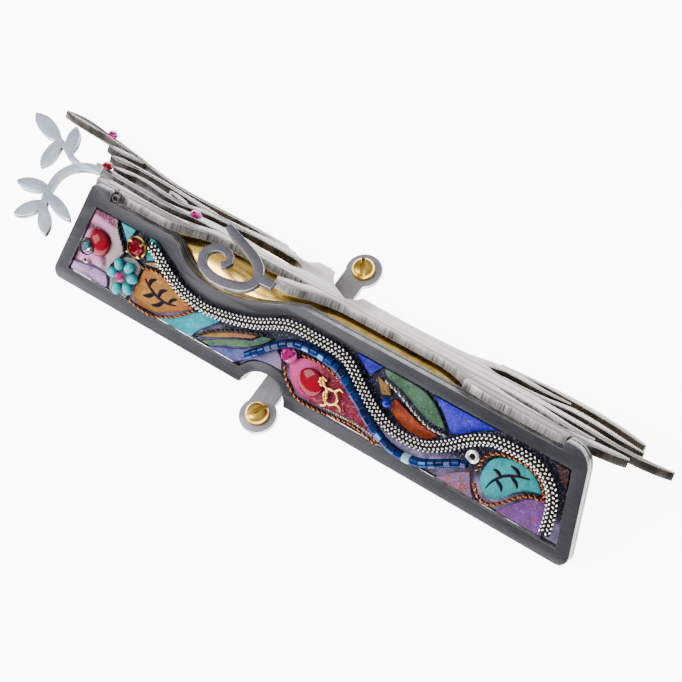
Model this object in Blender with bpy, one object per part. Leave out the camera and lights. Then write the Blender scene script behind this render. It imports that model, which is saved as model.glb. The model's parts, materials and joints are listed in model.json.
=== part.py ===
"""Corner mezuzah case: two steel plates joined at right angles along a ridge, a brass scroll tube
under the ridge, a bent mounting strap with two screws, and a jewelled collage in the front panel.

The case lies on its back. +Z points out of the doorpost, X runs along the case with its top end at
-X, the framed panel slopes down towards -Y and the tree plate slopes down towards +Y.  The origin is
on the doorpost plane under the ridge, half way along the panel.  Sizes are millimetres; MM turns
them into metres.  Panel shapes are (x, d) with d measured down the panel from the ridge, tree
shapes are (x, w) with w measured down the tree plate from the ridge.
"""
import math

import bmesh
import bpy
from mathutils import Vector

MM = 0.001

# ---- driving dimensions ----
GAP = 0.3                   # between pieces that touch on the real object
SLOPE = math.radians(45.0)  # of both plates from the doorpost
PLATE = 2.0                 # steel sheet of the frame and of the tree
BACKING = 1.0               # steel sheet behind the collage
PANEL_TOP = 129.0           # length of the panel along the ridge
PANEL_WIDTH = 25.6          # ridge to lower edge, down the slope
END_SPLAY = math.tan(math.radians(10.5))
BORDER = 3.2                # frame width round the collage window
TOP_BORDER = 2.7            # frame width under the ridge
TAB_LEFT = 5.2              # corner tabs that hold the tree plate between them
TAB_RIGHT = 5.9
SEAT_DEPTH = 1.5            # the tree plate's edge below the panel's face
ARCH_X, ARCH_D, ARCH_R = -8.2, 26.9, 6.2
TUBE_R, TUBE_WALL = 6.0, 0.6
TUBE_START, TUBE_END = -55.0, 57.5
CAP_WALL, PLUG_HEAD, PLUG_GRIP = 1.0, 1.6, 6.0
SCROLL_R, SCROLL_LENGTH = 4.0, 98.0
STRAP_X, STRAP_WIDTH, STRAP_THICK = -7.2, 6.0, 1.2
SCREW_X, SCREW_PANEL_Y, SCREW_TREE_Y = -6.35, -22.1, 19.9
DISC_R, HOLE_R = 4.3, 1.7
HEAD_R, HEAD_HIGH, SHANK_R, SHANK_LONG = 2.8, 2.2, 1.4, 11.0
SLOT_WIDE, SLOT_DEEP = 0.8, 0.9
BED_LOW, BED_HIGH = -PLATE, -1.3
CELL_LOW, CELL_HIGH = BED_HIGH + GAP, -0.35
WIRE_LIFT = CELL_HIGH + 0.25  # underside of what lies on the cells
SHEET_BENT = 1.5              # sheet of the curled branch and of the scroll ornament
TIP_BEND = 2.4                # how far the outer branch's tip is bent out of the tree plate

STACK = PLATE + GAP + BACKING
RIDGE_HIGH = (PANEL_WIDTH + STACK) * math.sin(SLOPE)
SEAT = PLATE + GAP            # depth of the recess that takes the tree plate
TUBE_Y = (STACK - PLATE) * math.cos(SLOPE)
TUBE_Z = RIDGE_HIGH - (STACK + PLATE + 2 * GAP + 2 * TUBE_R) * math.sin(SLOPE)


# ---- scene and materials ----
def clear_scene():
    for obj in list(bpy.data.objects):
        bpy.data.objects.remove(obj, do_unlink=True)


def material(name, colour, metallic=0.0, roughness=0.4):
    made = bpy.data.materials.new(name)
    made.use_nodes = True
    shader = made.node_tree.nodes["Principled BSDF"]
    shader.inputs["Base Color"].default_value = (*colour, 1.0)
    shader.inputs["Metallic"].default_value = metallic
    shader.inputs["Roughness"].default_value = roughness
    made.diffuse_color = (*colour, 1.0)
    return made


def empty(name, location, turn):
    made = bpy.data.objects.new(name, None)
    bpy.context.scene.collection.objects.link(made)
    made.location = location
    made.rotation_euler = (turn, 0.0, 0.0)
    return made


# ---- outlines ----
def filleted(corners, most_turn=30.0):
    """Points round a closed outline of (x, y, radius) corners."""
    points = []
    count = len(corners)
    for i, (x, y, radius) in enumerate(corners):
        here = Vector((x, y))
        back = Vector(corners[i - 1][:2]) - here
        ahead = Vector(corners[(i + 1) % count][:2]) - here
        turn = math.pi - back.angle(ahead)
        if radius <= 0 or turn < 0.01:
            points.append((x, y))
            continue
        reach = radius * math.tan(turn / 2)
        start = here + back.normalized() * reach
        centre = here + (back.normalized() + ahead.normalized()).normalized() * math.hypot(reach, radius)
        side = 1 if back.x * ahead.y - back.y * ahead.x < 0 else -1
        steps = max(1, math.ceil(math.degrees(turn) / most_turn))
        arm = start - centre
        for k in range(steps + 1):
            a = side * turn * k / steps
            points.append((centre.x + arm.x * math.cos(a) - arm.y * math.sin(a),
                           centre.y + arm.x * math.sin(a) + arm.y * math.cos(a)))
    return points


def flowing(points, steps=3):
    """A Catmull-Rom curve through points of any size."""
    knots = [tuple(p) for p in points]
    last = len(knots) - 1
    out = []
    for i in range(last):
        p = [knots[min(max(i + k, 0), last)] for k in (-1, 0, 1, 2)]
        for k in range(steps):
            t = k / steps
            out.append(tuple(0.5 * (2 * b + (c - a) * t + (2 * a - 5 * b + 4 * c - d) * t * t
                                    + (3 * b - a - 3 * c + d) * t ** 3) for a, b, c, d in zip(*p)))
    out.append(knots[-1])
    return out


def eased(corners, sharp=40.0):
    """A closed outline with one more point on each gentle bend. Sharp corners stay."""
    points = [Vector(p) for p in corners]
    count = len(points)
    ways = [(points[(i + 1) % count] - points[i]).normalized() for i in range(count)]
    keen = [ways[i - 1].angle(ways[i]) > math.radians(sharp) for i in range(count)]
    out = []
    for i in range(count):
        here, there = points[i], points[(i + 1) % count]
        before = 2 * here - there if keen[i] else points[i - 1]
        beyond = 2 * there - here if keen[(i + 1) % count] else points[(i + 2) % count]
        out.append(tuple(here))
        out.append(tuple((9 * (here + there) - before - beyond) / 16))
    return out


def arc(x, y, radius, start, end, steps):
    """Points on a circle from one angle to another, in degrees."""
    angles = [math.radians(start + (end - start) * k / steps) for k in range(steps + 1)]
    return [(x + radius * math.cos(a), y + radius * math.sin(a)) for a in angles]


def end_x(side, d, inset=0.0):
    """x of the panel's splayed end, side -1 at the top end and 1 at the bottom end."""
    return side * (PANEL_TOP / 2 + d * END_SPLAY - inset * math.hypot(1, END_SPLAY))


def ribbon(spine):
    """Outline round a spine of (x, y, width) points with a pointed start and end."""
    path = flowing(spine, steps=2)
    left, right = [], []
    for i, (x, y, width) in enumerate(path):
        ahead = path[min(i + 1, len(path) - 1)]
        behind = path[max(i - 1, 0)]
        along = Vector((ahead[0] - behind[0], ahead[1] - behind[1])).normalized() * max(width, 0.3) / 2
        left.append((x - along.y, y + along.x))
        right.append((x + along.y, y - along.x))
    return left + right[::-1]


# ---- solids ----
def link(name, mesh, parent, finish, at=(0.0, 0.0, 0.0)):
    obj = bpy.data.objects.new(name, mesh)
    bpy.context.scene.collection.objects.link(obj)
    obj.parent = parent
    obj.location = at
    mesh.materials.append(finish)
    return obj


def mesh_of(bm, name, smooth_angle=None):
    bmesh.ops.recalc_face_normals(bm, faces=bm.faces)
    mesh = bpy.data.meshes.new(name)
    bm.to_mesh(mesh)
    bm.free()
    if smooth_angle:
        mesh.shade_smooth()
        mesh.set_sharp_from_angle(angle=math.radians(smooth_angle))
    return mesh


def prism_mesh(name, outline, low, high, down=True):
    """A flat plate of this outline. With down, y is measured down the slope."""
    bm = bmesh.new()
    flip = -1.0 if down else 1.0
    ring = [bm.verts.new((x * MM, y * flip * MM, low * MM)) for x, y in outline]
    face = bm.faces.new(ring)
    raised = bmesh.ops.extrude_face_region(bm, geom=[face])
    tops = [v for v in raised["geom"] if isinstance(v, bmesh.types.BMVert)]
    bmesh.ops.translate(bm, verts=tops, vec=(0, 0, (high - low) * MM))
    return mesh_of(bm, name)


def panel_plate(name, outline, low, high, finish):
    return link(name, prism_mesh(name, outline, low, high), panel_side, finish)


def turned_mesh(name, profile, steps, squash=1.0):
    """A solid of revolution about Z from (radius, z) points that start and end on the axis."""
    bm = bmesh.new()
    rings = []
    for radius, z in profile:
        if radius < 1e-6:
            rings.append([bm.verts.new((0, 0, z * MM))])
            continue
        angles = [2 * math.pi * k / steps for k in range(steps)]
        rings.append([bm.verts.new((radius * math.cos(a) * MM, radius * squash * math.sin(a) * MM, z * MM))
                      for a in angles])
    for low, high in zip(rings, rings[1:]):
        for k in range(steps):
            ends = [low[k % len(low)], low[(k + 1) % len(low)], high[(k + 1) % len(high)], high[k % len(high)]]
            bm.faces.new(list(dict.fromkeys(ends)))
    return mesh_of(bm, name, 40)


def on_panel(name, profile, x, d, finish, steps=12, squash=1.0):
    obj = link(name, turned_mesh(name, profile, steps, squash), panel_side, finish)
    obj.location = (x * MM, -d * MM, 0)
    return obj


def swept_mesh(name, path, wide, tall, base, sides, down=True):
    """A flattened tube along (x, y) points, its underside at height base."""
    bm = bmesh.new()
    flip = -1.0 if down else 1.0
    points = [Vector((x, y * flip, 0.0)) for x, y in path]
    rings = []
    for i, point in enumerate(points):
        along = points[min(i + 1, len(points) - 1)] - points[max(i - 1, 0)]
        across = Vector((-along.y, along.x, 0)).normalized()
        ring = []
        for k in range(sides):
            a = 2 * math.pi * (k + 0.5) / sides
            corner = point + across * math.cos(a) * wide / 2
            rise = base + tall / 2 * (1 + math.sin(a))
            ring.append(bm.verts.new((corner.x * MM, corner.y * MM, rise * MM)))
        rings.append(ring)
    for low, high in zip(rings, rings[1:]):
        for k in range(sides):
            bm.faces.new((low[k], low[(k + 1) % sides], high[(k + 1) % sides], high[k]))
    bm.faces.new(rings[0])
    bm.faces.new(rings[-1][::-1])
    return mesh_of(bm, name, 50)


def wire(name, points, wide, tall, finish, base=None, sides=6, steps=3):
    lift = WIRE_LIFT if base is None else base
    mesh = swept_mesh(name, flowing(points, steps=steps), wide, tall, lift, sides)
    return link(name, mesh, panel_side, finish)


def cut(obj, cutter, operation="DIFFERENCE"):
    cutter.hide_render = True
    cutter.display_type = "WIRE"
    modifier = obj.modifiers.new(operation.title(), "BOOLEAN")
    modifier.operation = operation
    modifier.object = cutter
    modifier.solver = "EXACT"


def cutter(name, mesh, parent, at=(0.0, 0.0, 0.0)):
    return link(name, mesh, parent, helper, at)


# ---- the framed panel ----
def notch():
    """The flowing dip in the upper edge that shows the brass tube, from top end to bottom end."""
    return [(-41.5, SEAT), (-39.4, 3.2), (-37.6, 5.0), (-35.0, 6.9), (-31.5, 8.1), (-27.0, 8.6),
            (-22.0, 8.0), (-17.0, 6.7), (-12.0, 4.8), (-8.0, 3.1), (-5.0, SEAT)]


def panel_outline():
    low = PANEL_WIDTH
    half = math.degrees(math.acos((ARCH_D - low) / ARCH_R))
    top_tab = end_x(-1, 0) + TAB_LEFT
    bottom_tab = end_x(1, 0) - TAB_RIGHT
    first = filleted([(end_x(-1, low), low, 2.2), (end_x(-1, 0), 0, 1.8), (top_tab, 0, 0.6),
                      (top_tab, SEAT, 0.2), (top_tab + 2, SEAT, 0), (0, low, 0)])[:-1]
    last = filleted([(bottom_tab - 2, SEAT, 0), (bottom_tab, SEAT, 0.2), (bottom_tab, 0, 0.6),
                     (end_x(1, 0), 0, 4.8), (end_x(1, low), low, 2.4), (0, low, 0)])[:-1]
    bow = arc(ARCH_X, ARCH_D, ARCH_R, -90 + half, -90 - half, 12)
    return first + flowing(notch(), steps=2) + last + bow


def window_outline(inset=0.0):
    top = SEAT + TOP_BORDER + inset
    low = PANEL_WIDTH - BORDER + inset * -1
    deep = BORDER + inset
    dip = [(x, d + deep + 0.2) for x, d in notch()[2:-2]]
    bow_r = ARCH_R + BORDER - 0.9 + inset
    half = math.degrees(math.acos((ARCH_D - low) / bow_r))
    upper = [(end_x(-1, top, deep), top), (-44.5 - inset, top), (-41.5, 6.4 + inset)] + dip
    upper += [(-8.5, 6.0 + inset), (-6.0, top), (end_x(1, top, deep), top)]
    lower = [(end_x(1, low, deep), low)] + arc(ARCH_X, ARCH_D, bow_r, -90 + half, -90 - half, 8)
    return upper + lower + [(end_x(-1, low, deep), low)]


def make_panel():
    frame = panel_plate("panel_frame", panel_outline(), -PLATE, 0.0, steel_dark)
    opening = prism_mesh("window_cutter", window_outline(), -PLATE - 1, 1.0)
    cut(frame, cutter("window_cutter", opening, panel_side))
    panel_plate("panel_back_plate", panel_outline(), -STACK, -PLATE - GAP, steel_dark)
    panel_plate("collage_bed", window_outline(GAP), BED_LOW, BED_HIGH, bed_clay)


CELLS = {
    "cell_marbled": ("marble", [(-61.9, 5.5), (-55.9, 5.5), (-54.6, 8.0), (-52.9, 10.2), (-51.9, 12.0),
                                (-53.2, 14.2), (-54.5, 16.2), (-54.9, 18.3), (-58.4, 18.2), (-61.6, 18.8),
                                (-64.2, 19.3), (-63.1, 12.5)]),
    "cell_lilac_strip": ("lilac", [(-64.3, 19.9), (-61.6, 19.5), (-58.4, 18.9), (-54.9, 19.0), (-54.2, 20.6),
                                   (-54.0, 21.9), (-64.7, 21.9)]),
    "cell_turquoise_tip": ("turquoise", [(-54.7, 5.5), (-50.5, 5.5), (-51.7, 9.2)]),
    "cell_pearl_ground": ("pearl", [(-51.3, 12.8), (-49.2, 11.9), (-46.8, 12.7), (-46.7, 14.6), (-47.7, 18.0),
                                    (-48.2, 21.9), (-53.1, 21.9), (-53.6, 19.4), (-54.0, 17.4), (-52.6, 15.0)]),
    "cell_turquoise_patch": ("turquoise", [(-46.3, 5.5), (-44.9, 5.5), (-43.3, 6.6), (-42.8, 8.2), (-43.7, 9.8),
                                           (-45.7, 10.8), (-46.4, 8.4)]),
    "cell_gold_crescent": ("orange", [(-46.1, 11.8), (-44.4, 10.8), (-42.4, 9.8), (-40.6, 10.5), (-38.6, 11.7),
                                      (-41.0, 11.0), (-43.6, 11.4)]),
    "cell_orange_leaf": ("orange", [(-45.6, 13.2), (-43.0, 12.4), (-40.0, 12.6), (-36.2, 13.9), (-32.6, 15.3),
                                    (-31.0, 15.9), (-33.2, 17.5), (-36.2, 19.4), (-40.0, 21.2), (-43.8, 21.5),
                                    (-47.1, 20.4), (-46.3, 17.0)]),
    "cell_turquoise_long": ("turquoise", [(-29.6, 15.9), (-26.6, 15.0), (-23.4, 15.1), (-25.6, 17.4),
                                          (-28.3, 20.2), (-29.2, 22.0), (-38.6, 22.0), (-35.6, 20.5),
                                          (-32.1, 17.9)]),
    "cell_orange_band": ("rust", [(-27.5, 20.9), (-24.6, 18.6), (-20.0, 16.1), (-15.6, 14.3), (-13.4, 13.7),
                                  (-14.6, 14.8), (-18.6, 16.6), (-23.0, 18.9)]),
    "cell_green_band": ("green", [(-26.6, 21.6), (-22.6, 19.2), (-18.4, 17.0), (-14.2, 15.1), (-12.6, 13.4),
                                  (-9.8, 12.5), (-11.6, 14.7), (-15.4, 17.4), (-20.6, 19.8), (-24.2, 21.5)]),
    "cell_lilac_arch": ("lilac", [(-24.4, 22.0), (-20.6, 20.3), (-15.2, 17.9), (-11.4, 15.4), (-8.2, 14.2),
                                  (-6.4, 15.6), (-5.4, 18.1), (-8.4, 18.2), (-12.0, 18.9), (-15.4, 20.8),
                                  (-16.8, 22.0)]),
    "cell_pink_leaf": ("pink", [(-4.0, 15.8), (-2.2, 13.3), (1.0, 12.3), (5.0, 12.4), (9.0, 13.7), (13.0, 16.0),
                                (17.0, 18.8), (19.4, 20.7), (15.0, 20.1), (11.0, 20.4), (6.0, 21.1), (2.0, 21.3),
                                (-0.8, 20.4), (-3.0, 18.4)]),
    "cell_blue_peak": ("royal", [(9.8, 5.5), (16.5, 5.5), (14.4, 8.6)]),
    "cell_amber_bit": ("orange", [(16.0, 7.8), (19.4, 8.8), (20.4, 10.4), (18.4, 11.2)]),
    "cell_olive_leaf": ("olive", [(17.2, 5.5), (22.0, 5.5), (27.0, 5.8), (31.0, 7.9), (34.4, 11.2), (31.0, 11.4),
                                  (27.0, 10.1), (22.5, 8.1), (18.2, 6.9)]),
    "cell_blue_wedge": ("royal", [(29.6, 5.5), (44.8, 5.5), (41.0, 7.8), (37.4, 10.6), (35.6, 11.3),
                                  (33.0, 8.3)]),
    "cell_orange_sliver": ("rust", [(21.6, 10.6), (24.4, 11.4), (28.4, 12.8), (33.4, 13.3), (31.2, 15.2),
                                    (27.2, 15.6), (23.4, 14.6), (21.0, 12.8)]),
    "cell_speckled": ("lilac", [(36.0, 22.0), (37.4, 20.8), (39.6, 18.7), (42.6, 16.8), (43.3, 18.6),
                                (44.4, 20.8), (45.6, 22.0)]),
    "cell_turquoise_disc": ("turquoise", [(45.0, 15.6), (45.6, 12.6), (47.4, 10.7), (50.4, 9.7), (53.8, 9.8),
                                          (56.6, 11.2), (58.5, 13.3), (55.6, 14.2), (53.2, 15.9), (51.1, 18.4),
                                          (48.7, 20.1), (46.8, 19.6), (45.4, 17.8)]),
    "cell_purple": ("purple", [(58.4, 14.9), (60.6, 14.6), (61.6, 21.9), (50.8, 21.9), (53.8, 18.2),
                               (56.2, 15.8)]),
    "cell_maroon": ("maroon", [(57.6, 5.5), (61.8, 5.5), (62.7, 9.8), (61.2, 8.9), (59.6, 6.8)]),
}


def make_cells(colours):
    for name, (colour, outline) in CELLS.items():
        panel_plate(name, eased(outline), CELL_LOW, CELL_HIGH, colours[colour])


CHAIN = [(-45.6, 6.6), (-43.2, 7.4), (-40.6, 9.2), (-37.4, 11.2), (-33.0, 12.9), (-27.0, 13.6), (-20.0, 12.4),
         (-14.0, 10.5), (-9.6, 8.3), (-5.6, 6.9), (0.0, 6.7), (6.0, 6.8), (9.6, 8.0), (13.6, 11.2),
         (18.0, 14.4), (22.6, 16.5), (27.0, 17.1), (31.6, 16.4), (36.0, 13.8), (40.2, 10.2), (44.6, 7.7),
         (50.0, 7.0), (54.6, 7.3), (58.0, 8.8), (60.4, 11.4), (61.6, 14.6), (62.1, 18.2), (62.2, 20.6)]
BEADS = [(-14.2, 18.6), (-11.0, 15.6), (-7.4, 12.4), (-4.0, 10.3), (-0.5, 9.6), (4.0, 9.7), (8.0, 10.6),
         (12.0, 13.1), (16.0, 16.0), (20.0, 18.7), (24.0, 20.4), (28.0, 20.9), (32.0, 20.3), (36.0, 18.2),
         (39.6, 16.0), (42.0, 15.2)]
WIRES = {
    "wire_marble_edge": ("black_wire", 0.7, [(-55.2, 5.8), (-53.8, 8.2), (-52.4, 10.0), (-51.2, 12.2)]),
    "wire_orange_leaf": ("copper", 0.7, [(-46.2, 12.5), (-43.4, 11.9), (-40.6, 11.8), (-38.0, 12.6)]),
    "wire_orange_leaf_low": ("copper", 0.7, [(-30.0, 15.6), (-32.6, 17.9), (-35.8, 20.1), (-40.0, 21.9),
                                             (-44.2, 21.8), (-47.0, 21.2)]),
    "wire_beaded_band": ("black_wire", 0.8, [(-28.3, 21.6), (-25.0, 18.2), (-20.2, 15.5), (-15.0, 13.4),
                                             (-11.4, 12.0)]),
    "wire_pink_leaf": ("copper", 0.7, [(-1.6, 11.9), (3.0, 11.5), (7.6, 12.4), (12.0, 14.5), (16.4, 17.8),
                                       (20.4, 20.9), (21.2, 21.9), (15.6, 20.8), (11.0, 21.1), (6.0, 21.8),
                                       (1.6, 21.9), (-1.2, 20.9), (-3.7, 18.4), (-4.9, 15.8)]),
    "wire_olive_edge": ("silver_wire", 0.7, [(18.4, 7.6), (22.4, 8.8), (27.0, 10.9), (31.0, 12.2),
                                             (35.4, 12.1)]),
    "wire_turquoise_disc": ("copper", 0.8, [(44.0, 15.6), (44.8, 11.6), (47.0, 9.6), (50.4, 8.9), (54.2, 9.0),
                                            (57.4, 10.6), (59.4, 13.6), (58.6, 14.1), (55.8, 14.9),
                                            (53.4, 17.0), (51.2, 19.4), (48.8, 21.0), (46.4, 20.6),
                                            (44.6, 18.4)]),
}


def make_wires(finishes):
    wire("mesh_chain", CHAIN, 2.6, 1.3, finishes["mesh"], sides=8, steps=2)
    wire("bugle_bead_string", BEADS, 1.4, 1.2, finishes["bead_blue"], steps=2)
    for name, (finish, wide, points) in WIRES.items():
        wire(name, points, wide, wide * 0.9, finishes[finish], steps=2)


def dome(radius, base, high, flat=0.0):
    """Profile of a low dome from its underside to its top."""
    rim = base + flat
    return [(0, base), (radius, base)] + [(radius * math.cos(a), rim + (high - flat) * math.sin(a))
            for a in (math.radians(k) for k in (0 if flat else 12, 35, 60))] + [(0, base + high)]


def cut_stone(radius, base, high):
    """Profile of a flat-backed faceted stone."""
    return [(0, base), (radius * 0.9, base), (radius, base + 0.3 * high), (radius * 0.55, base + high),
            (0, base + high)]


def make_stones(finishes):
    base = CELL_HIGH + GAP
    x, d, r = -58.7, 12.5, 3.2
    stone_x, stone_d, stone_r = -60.6, 14.0, 1.9
    cabochon = on_panel("red_cabochon", dome(r, base, 2.2), x, d, finishes["glass_red"], 18)
    reach = stone_r + GAP
    pocket = turned_mesh("pocket_cutter", [(0, base - 1), (reach, base - 1), (reach, 4), (0, 4)], 14)
    cut(cabochon, cutter("pocket_cutter", pocket, panel_side, (stone_x * MM, -stone_d * MM, 0)))
    on_panel("crystal_rhinestone", cut_stone(stone_r, base, 2.3), stone_x, stone_d, finishes["crystal"], 10)
    cup = [(0, base), (2.3, base), (2.7, base + 1.5), (2.25, base + 1.5), (2.0, base + 0.4), (0, base + 0.4)]
    on_panel("prong_cup", cup, -48.3, 8.5, finishes["gold"], 16)
    on_panel("red_rhinestone", cut_stone(1.9, base + 0.4 + GAP, 1.5), -48.3, 8.5, finishes["glass_red"], 10)
    petals = []
    for k in range(48):
        a = 2 * math.pi * k / 48
        reach = 3.05 + 0.75 * math.cos(6 * a)
        petals.append((-50.2 + reach * math.cos(a), 17.0 + reach * math.sin(a)))
    panel_plate("flower_petals", petals, base, base + 0.9, finishes["petal"])
    on_panel("flower_crystal", cut_stone(1.2, base + 0.9 + GAP, 0.9), -50.2, 17.0, finishes["pink"], 8)
    bead = [(0, base), (1.2, base), (1.9, base + 0.8), (2.0, base + 1.4), (1.3, base + 2.4), (0, base + 2.6)]
    on_panel("fuchsia_bead", bead, -4.4, 13.3, finishes["pink"], 12, 0.78)
    on_panel("red_oval_stone", dome(3.0, base, 1.4), 2.2, 16.8, finishes["glass_red"], 16)
    charm = [(5.9, 18.0), (6.6, 15.8), (8.4, 14.9), (10.2, 15.8), (10.4, 17.8), (9.2, 19.2), (7.8, 18.4)]
    wire("gold_charm", charm, 0.8, 0.8, finishes["gold"], base, steps=2)
    blue = [(0, base), (0.8, base), (1.1, base + 0.8), (0.8, base + 1.6), (0, base + 1.8)]
    on_panel("blue_bead", blue, 20.6, 11.8, finishes["bead_blue"], 8)
    loop = ring_mesh("wire_loop", [(0.55, -0.4), (0.95, -0.4), (0.95, 0.2), (0.55, 0.2)], 12)
    link("wire_loop", loop, panel_side, finishes["black_wire"], (-57.6 * MM, -0.9 * MM, 0))
    ring = ring_mesh("silver_ring", [(0.65, base), (1.4, base), (1.4, base + 0.8), (0.65, base + 0.8)], 12)
    link("silver_ring", ring, panel_side, finishes["silver_wire"], (42.2 * MM, -13.0 * MM, 0))


def ring_mesh(name, section, steps):
    """A solid of revolution about Z whose closed (radius, z) section stays off the axis."""
    bm = bmesh.new()
    rings = []
    for radius, z in section:
        angles = [2 * math.pi * k / steps for k in range(steps)]
        rings.append([bm.verts.new(Vector((radius * math.cos(a), radius * math.sin(a), z)) * MM)
                      for a in angles])
    for i, low in enumerate(rings):
        high = rings[(i + 1) % len(rings)]
        for k in range(steps):
            bm.faces.new((low[k], low[(k + 1) % steps], high[(k + 1) % steps], high[k]))
    return mesh_of(bm, name, 40)


# ---- the tree plate ----
TRUNK = [(-14.8, 3.2), (-13.4, 1.0), (-9.0, 2.4), (-5.0, 4.7), (-1.0, 6.4), (4.0, 6.9),
         (24.0, 6.9), (28.0, 6.4), (31.5, 5.0), (35.0, 3.1), (38.5, SEAT_DEPTH + 0.2), (40.0, 7.2),
         (46.5, 8.4), (46.5, 12.0), (40.0, 13.0), (36.0, 13.3), (33.4, 14.2), (37.0, 16.0), (42.0, 18.2),
         (38.0, 19.2), (33.0, 17.6), (28.0, 15.4), (22.0, 14.6), (10.0, 14.3), (1.2, 14.6), (0.6, 12.0),
         (-0.8, 9.8), (-3.0, 11.5), (-5.5, 13.4), (-8.0, 17.0), (-9.5, 20.2), (-11.5, 21.0), (-14.5, 20.8),
         (-15.6, 18.2), (-18.0, 18.2), (-22.0, 20.0), (-25.5, 21.0), (-26.0, 16.9), (-22.0, 16.8),
         (-18.0, 16.0), (-15.4, 14.6), (-13.9, 13.3), (-15.6, 12.2), (-20.0, 11.9), (-25.0, 12.2),
         (-25.5, 7.9), (-20.0, 7.9), (-12.0, 8.0), (-8.2, 7.6), (-10.0, 6.0), (-13.0, 4.6)]
LIMBS = {
    "ridge_branch": [(-24, 9.3, 2.8), (-30, 8.7, 2.8), (-35, 7.7, 2.8), (-38, 6.1, 3.0), (-41, 4.7, 3.4),
                     (-44, 3.5, 3.8), (-50, 3.3, 3.6), (-56, 3.5, 4.0), (-59.5, 4.4, 3.0), (-63, 4.9, 2.2),
                     (-66.4, 4.8, 1.8)],
    "second_branch": [(-24, 10.5, 3.4), (-30, 10.9, 4.4), (-35, 11.0, 3.6), (-40, 11.0, 2.8), (-45, 10.0, 2.2),
                      (-50, 9.0, 2.0), (-56, 9.2, 1.9), (-62, 9.5, 1.8), (-67, 9.9, 2.0), (-72, 11.2, 0.8)],
    "third_branch": [(-20, 18.0, 3.4), (-28, 18.0, 2.6), (-35, 16.9, 2.4), (-40, 16.3, 2.4), (-44, 15.2, 2.2),
                     (-47, 13.8, 1.8), (-50, 13.3, 1.5), (-55, 13.9, 1.5), (-60, 15.0, 1.5), (-64, 15.0, 1.2)],
    "upper_branch": [(-40, 16.5, 2.2), (-45, 17.4, 2.0), (-50, 18.2, 1.6), (-56, 19.0, 1.5), (-62, 19.4, 1.4),
                     (-66, 19.4, 1.2)],
    "outer_branch": [(-23, 20.2, 1.6), (-30, 20.8, 1.6), (-36, 21.1, 1.4), (-42, 21.0, 1.4), (-50, 20.9, 1.4),
                     (-57, 21.6, 1.4), (-64, 23.4, 1.4), (-70, 24.9, 1.4), (-78, 25.4, 1.3), (-83, 25.3, 1.2)],
    "root_1": [(34, 5.4, 5.2), (40, 4.2, 5.2), (45, 3.7, 4.4), (50, 3.5, 4.0), (56, 3.3, 3.6), (60, 4.3, 3.0),
               (64, 5.4, 2.6), (68, 6.2, 2.0), (70.5, 6.8, 0.8)],
    "root_2": [(40, 9.5, 3.0), (46, 8.9, 2.6), (51, 8.2, 2.0), (56, 7.3, 1.7), (59.5, 7.1, 1.4), (62.3, 7.3, 0.8)],
    "root_3": [(40, 10.6, 3.6), (46, 11.0, 2.8), (51, 11.1, 2.2), (56, 10.9, 2.0), (60, 10.6, 2.0),
               (64, 10.0, 1.7), (68, 9.8, 1.6), (72, 10.0, 1.5), (76, 10.8, 1.2), (79, 11.7, 0.6)],
    "root_4": [(38, 12.2, 2.4), (44, 12.8, 1.8), (49, 13.8, 1.7), (54, 15.2, 2.1), (60, 14.9, 1.8),
               (66, 13.9, 1.4), (71.5, 13.2, 0.6)],
    "root_5": [(35, 16.9, 2.0), (41, 17.3, 2.0), (46, 17.0, 1.6), (50, 17.2, 1.2), (52.5, 17.5, 0.6)],
    "root_6": [(35, 18.0, 2.0), (41, 19.1, 1.6), (46, 19.9, 1.5), (52, 20.1, 1.8), (58, 19.8, 1.8),
               (63, 19.1, 1.6), (67, 18.1, 1.3), (70.5, 16.9, 0.6)],
}
LEAVES = {  # tip to tip and width
    "leaf_far": ((-81.0, 25.3), (-93.5, 24.8), 2.6),
    "leaf_inner": ((-67.5, 23.6), (-77.0, 21.2), 2.4),
    "leaf_middle": ((-65.5, 19.4), (-73.5, 18.0), 2.2),
    "leaf_low": ((-62.5, 15.1), (-69.0, 13.4), 2.2),
    "leaf_inside": ((-48.0, 14.6), (-54.5, 16.7), 1.6),
}


def leaf(start, end, width):
    """A leaf's outline from stalk to tip."""
    spine = []
    for share, breadth in ((0, 0.45), (0.2, 0.85), (0.45, 1.0), (0.7, 0.88), (0.88, 0.52), (1.0, 0.1)):
        spine.append((start[0] + (end[0] - start[0]) * share, start[1] + (end[1] - start[1]) * share,
                      breadth * width))
    return ribbon(spine)


def tip_lift(x, w):
    """How far the outer branch is bent out of the plate at this point."""
    along = min(1.0, max(0.0, (-64.0 - x) / 28.0))
    outward = min(1.0, max(0.0, (w - 17.0) / 3.0))
    return TIP_BEND * along * along * (3 - 2 * along) * outward


def bend_tips(tree):
    """Swaps the joined plate for its own mesh with the outer branch bent."""
    graph = bpy.context.evaluated_depsgraph_get()
    mesh = bpy.data.meshes.new_from_object(tree.evaluated_get(graph))
    bm = bmesh.new()
    bm.from_mesh(mesh)
    bmesh.ops.triangulate(bm, faces=bm.faces)
    for vert in bm.verts:
        vert.co.z += tip_lift(vert.co.x / MM, vert.co.y / MM) * MM
    bm.to_mesh(mesh)
    bm.free()
    tree.modifiers.clear()
    tree.data = mesh


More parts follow.
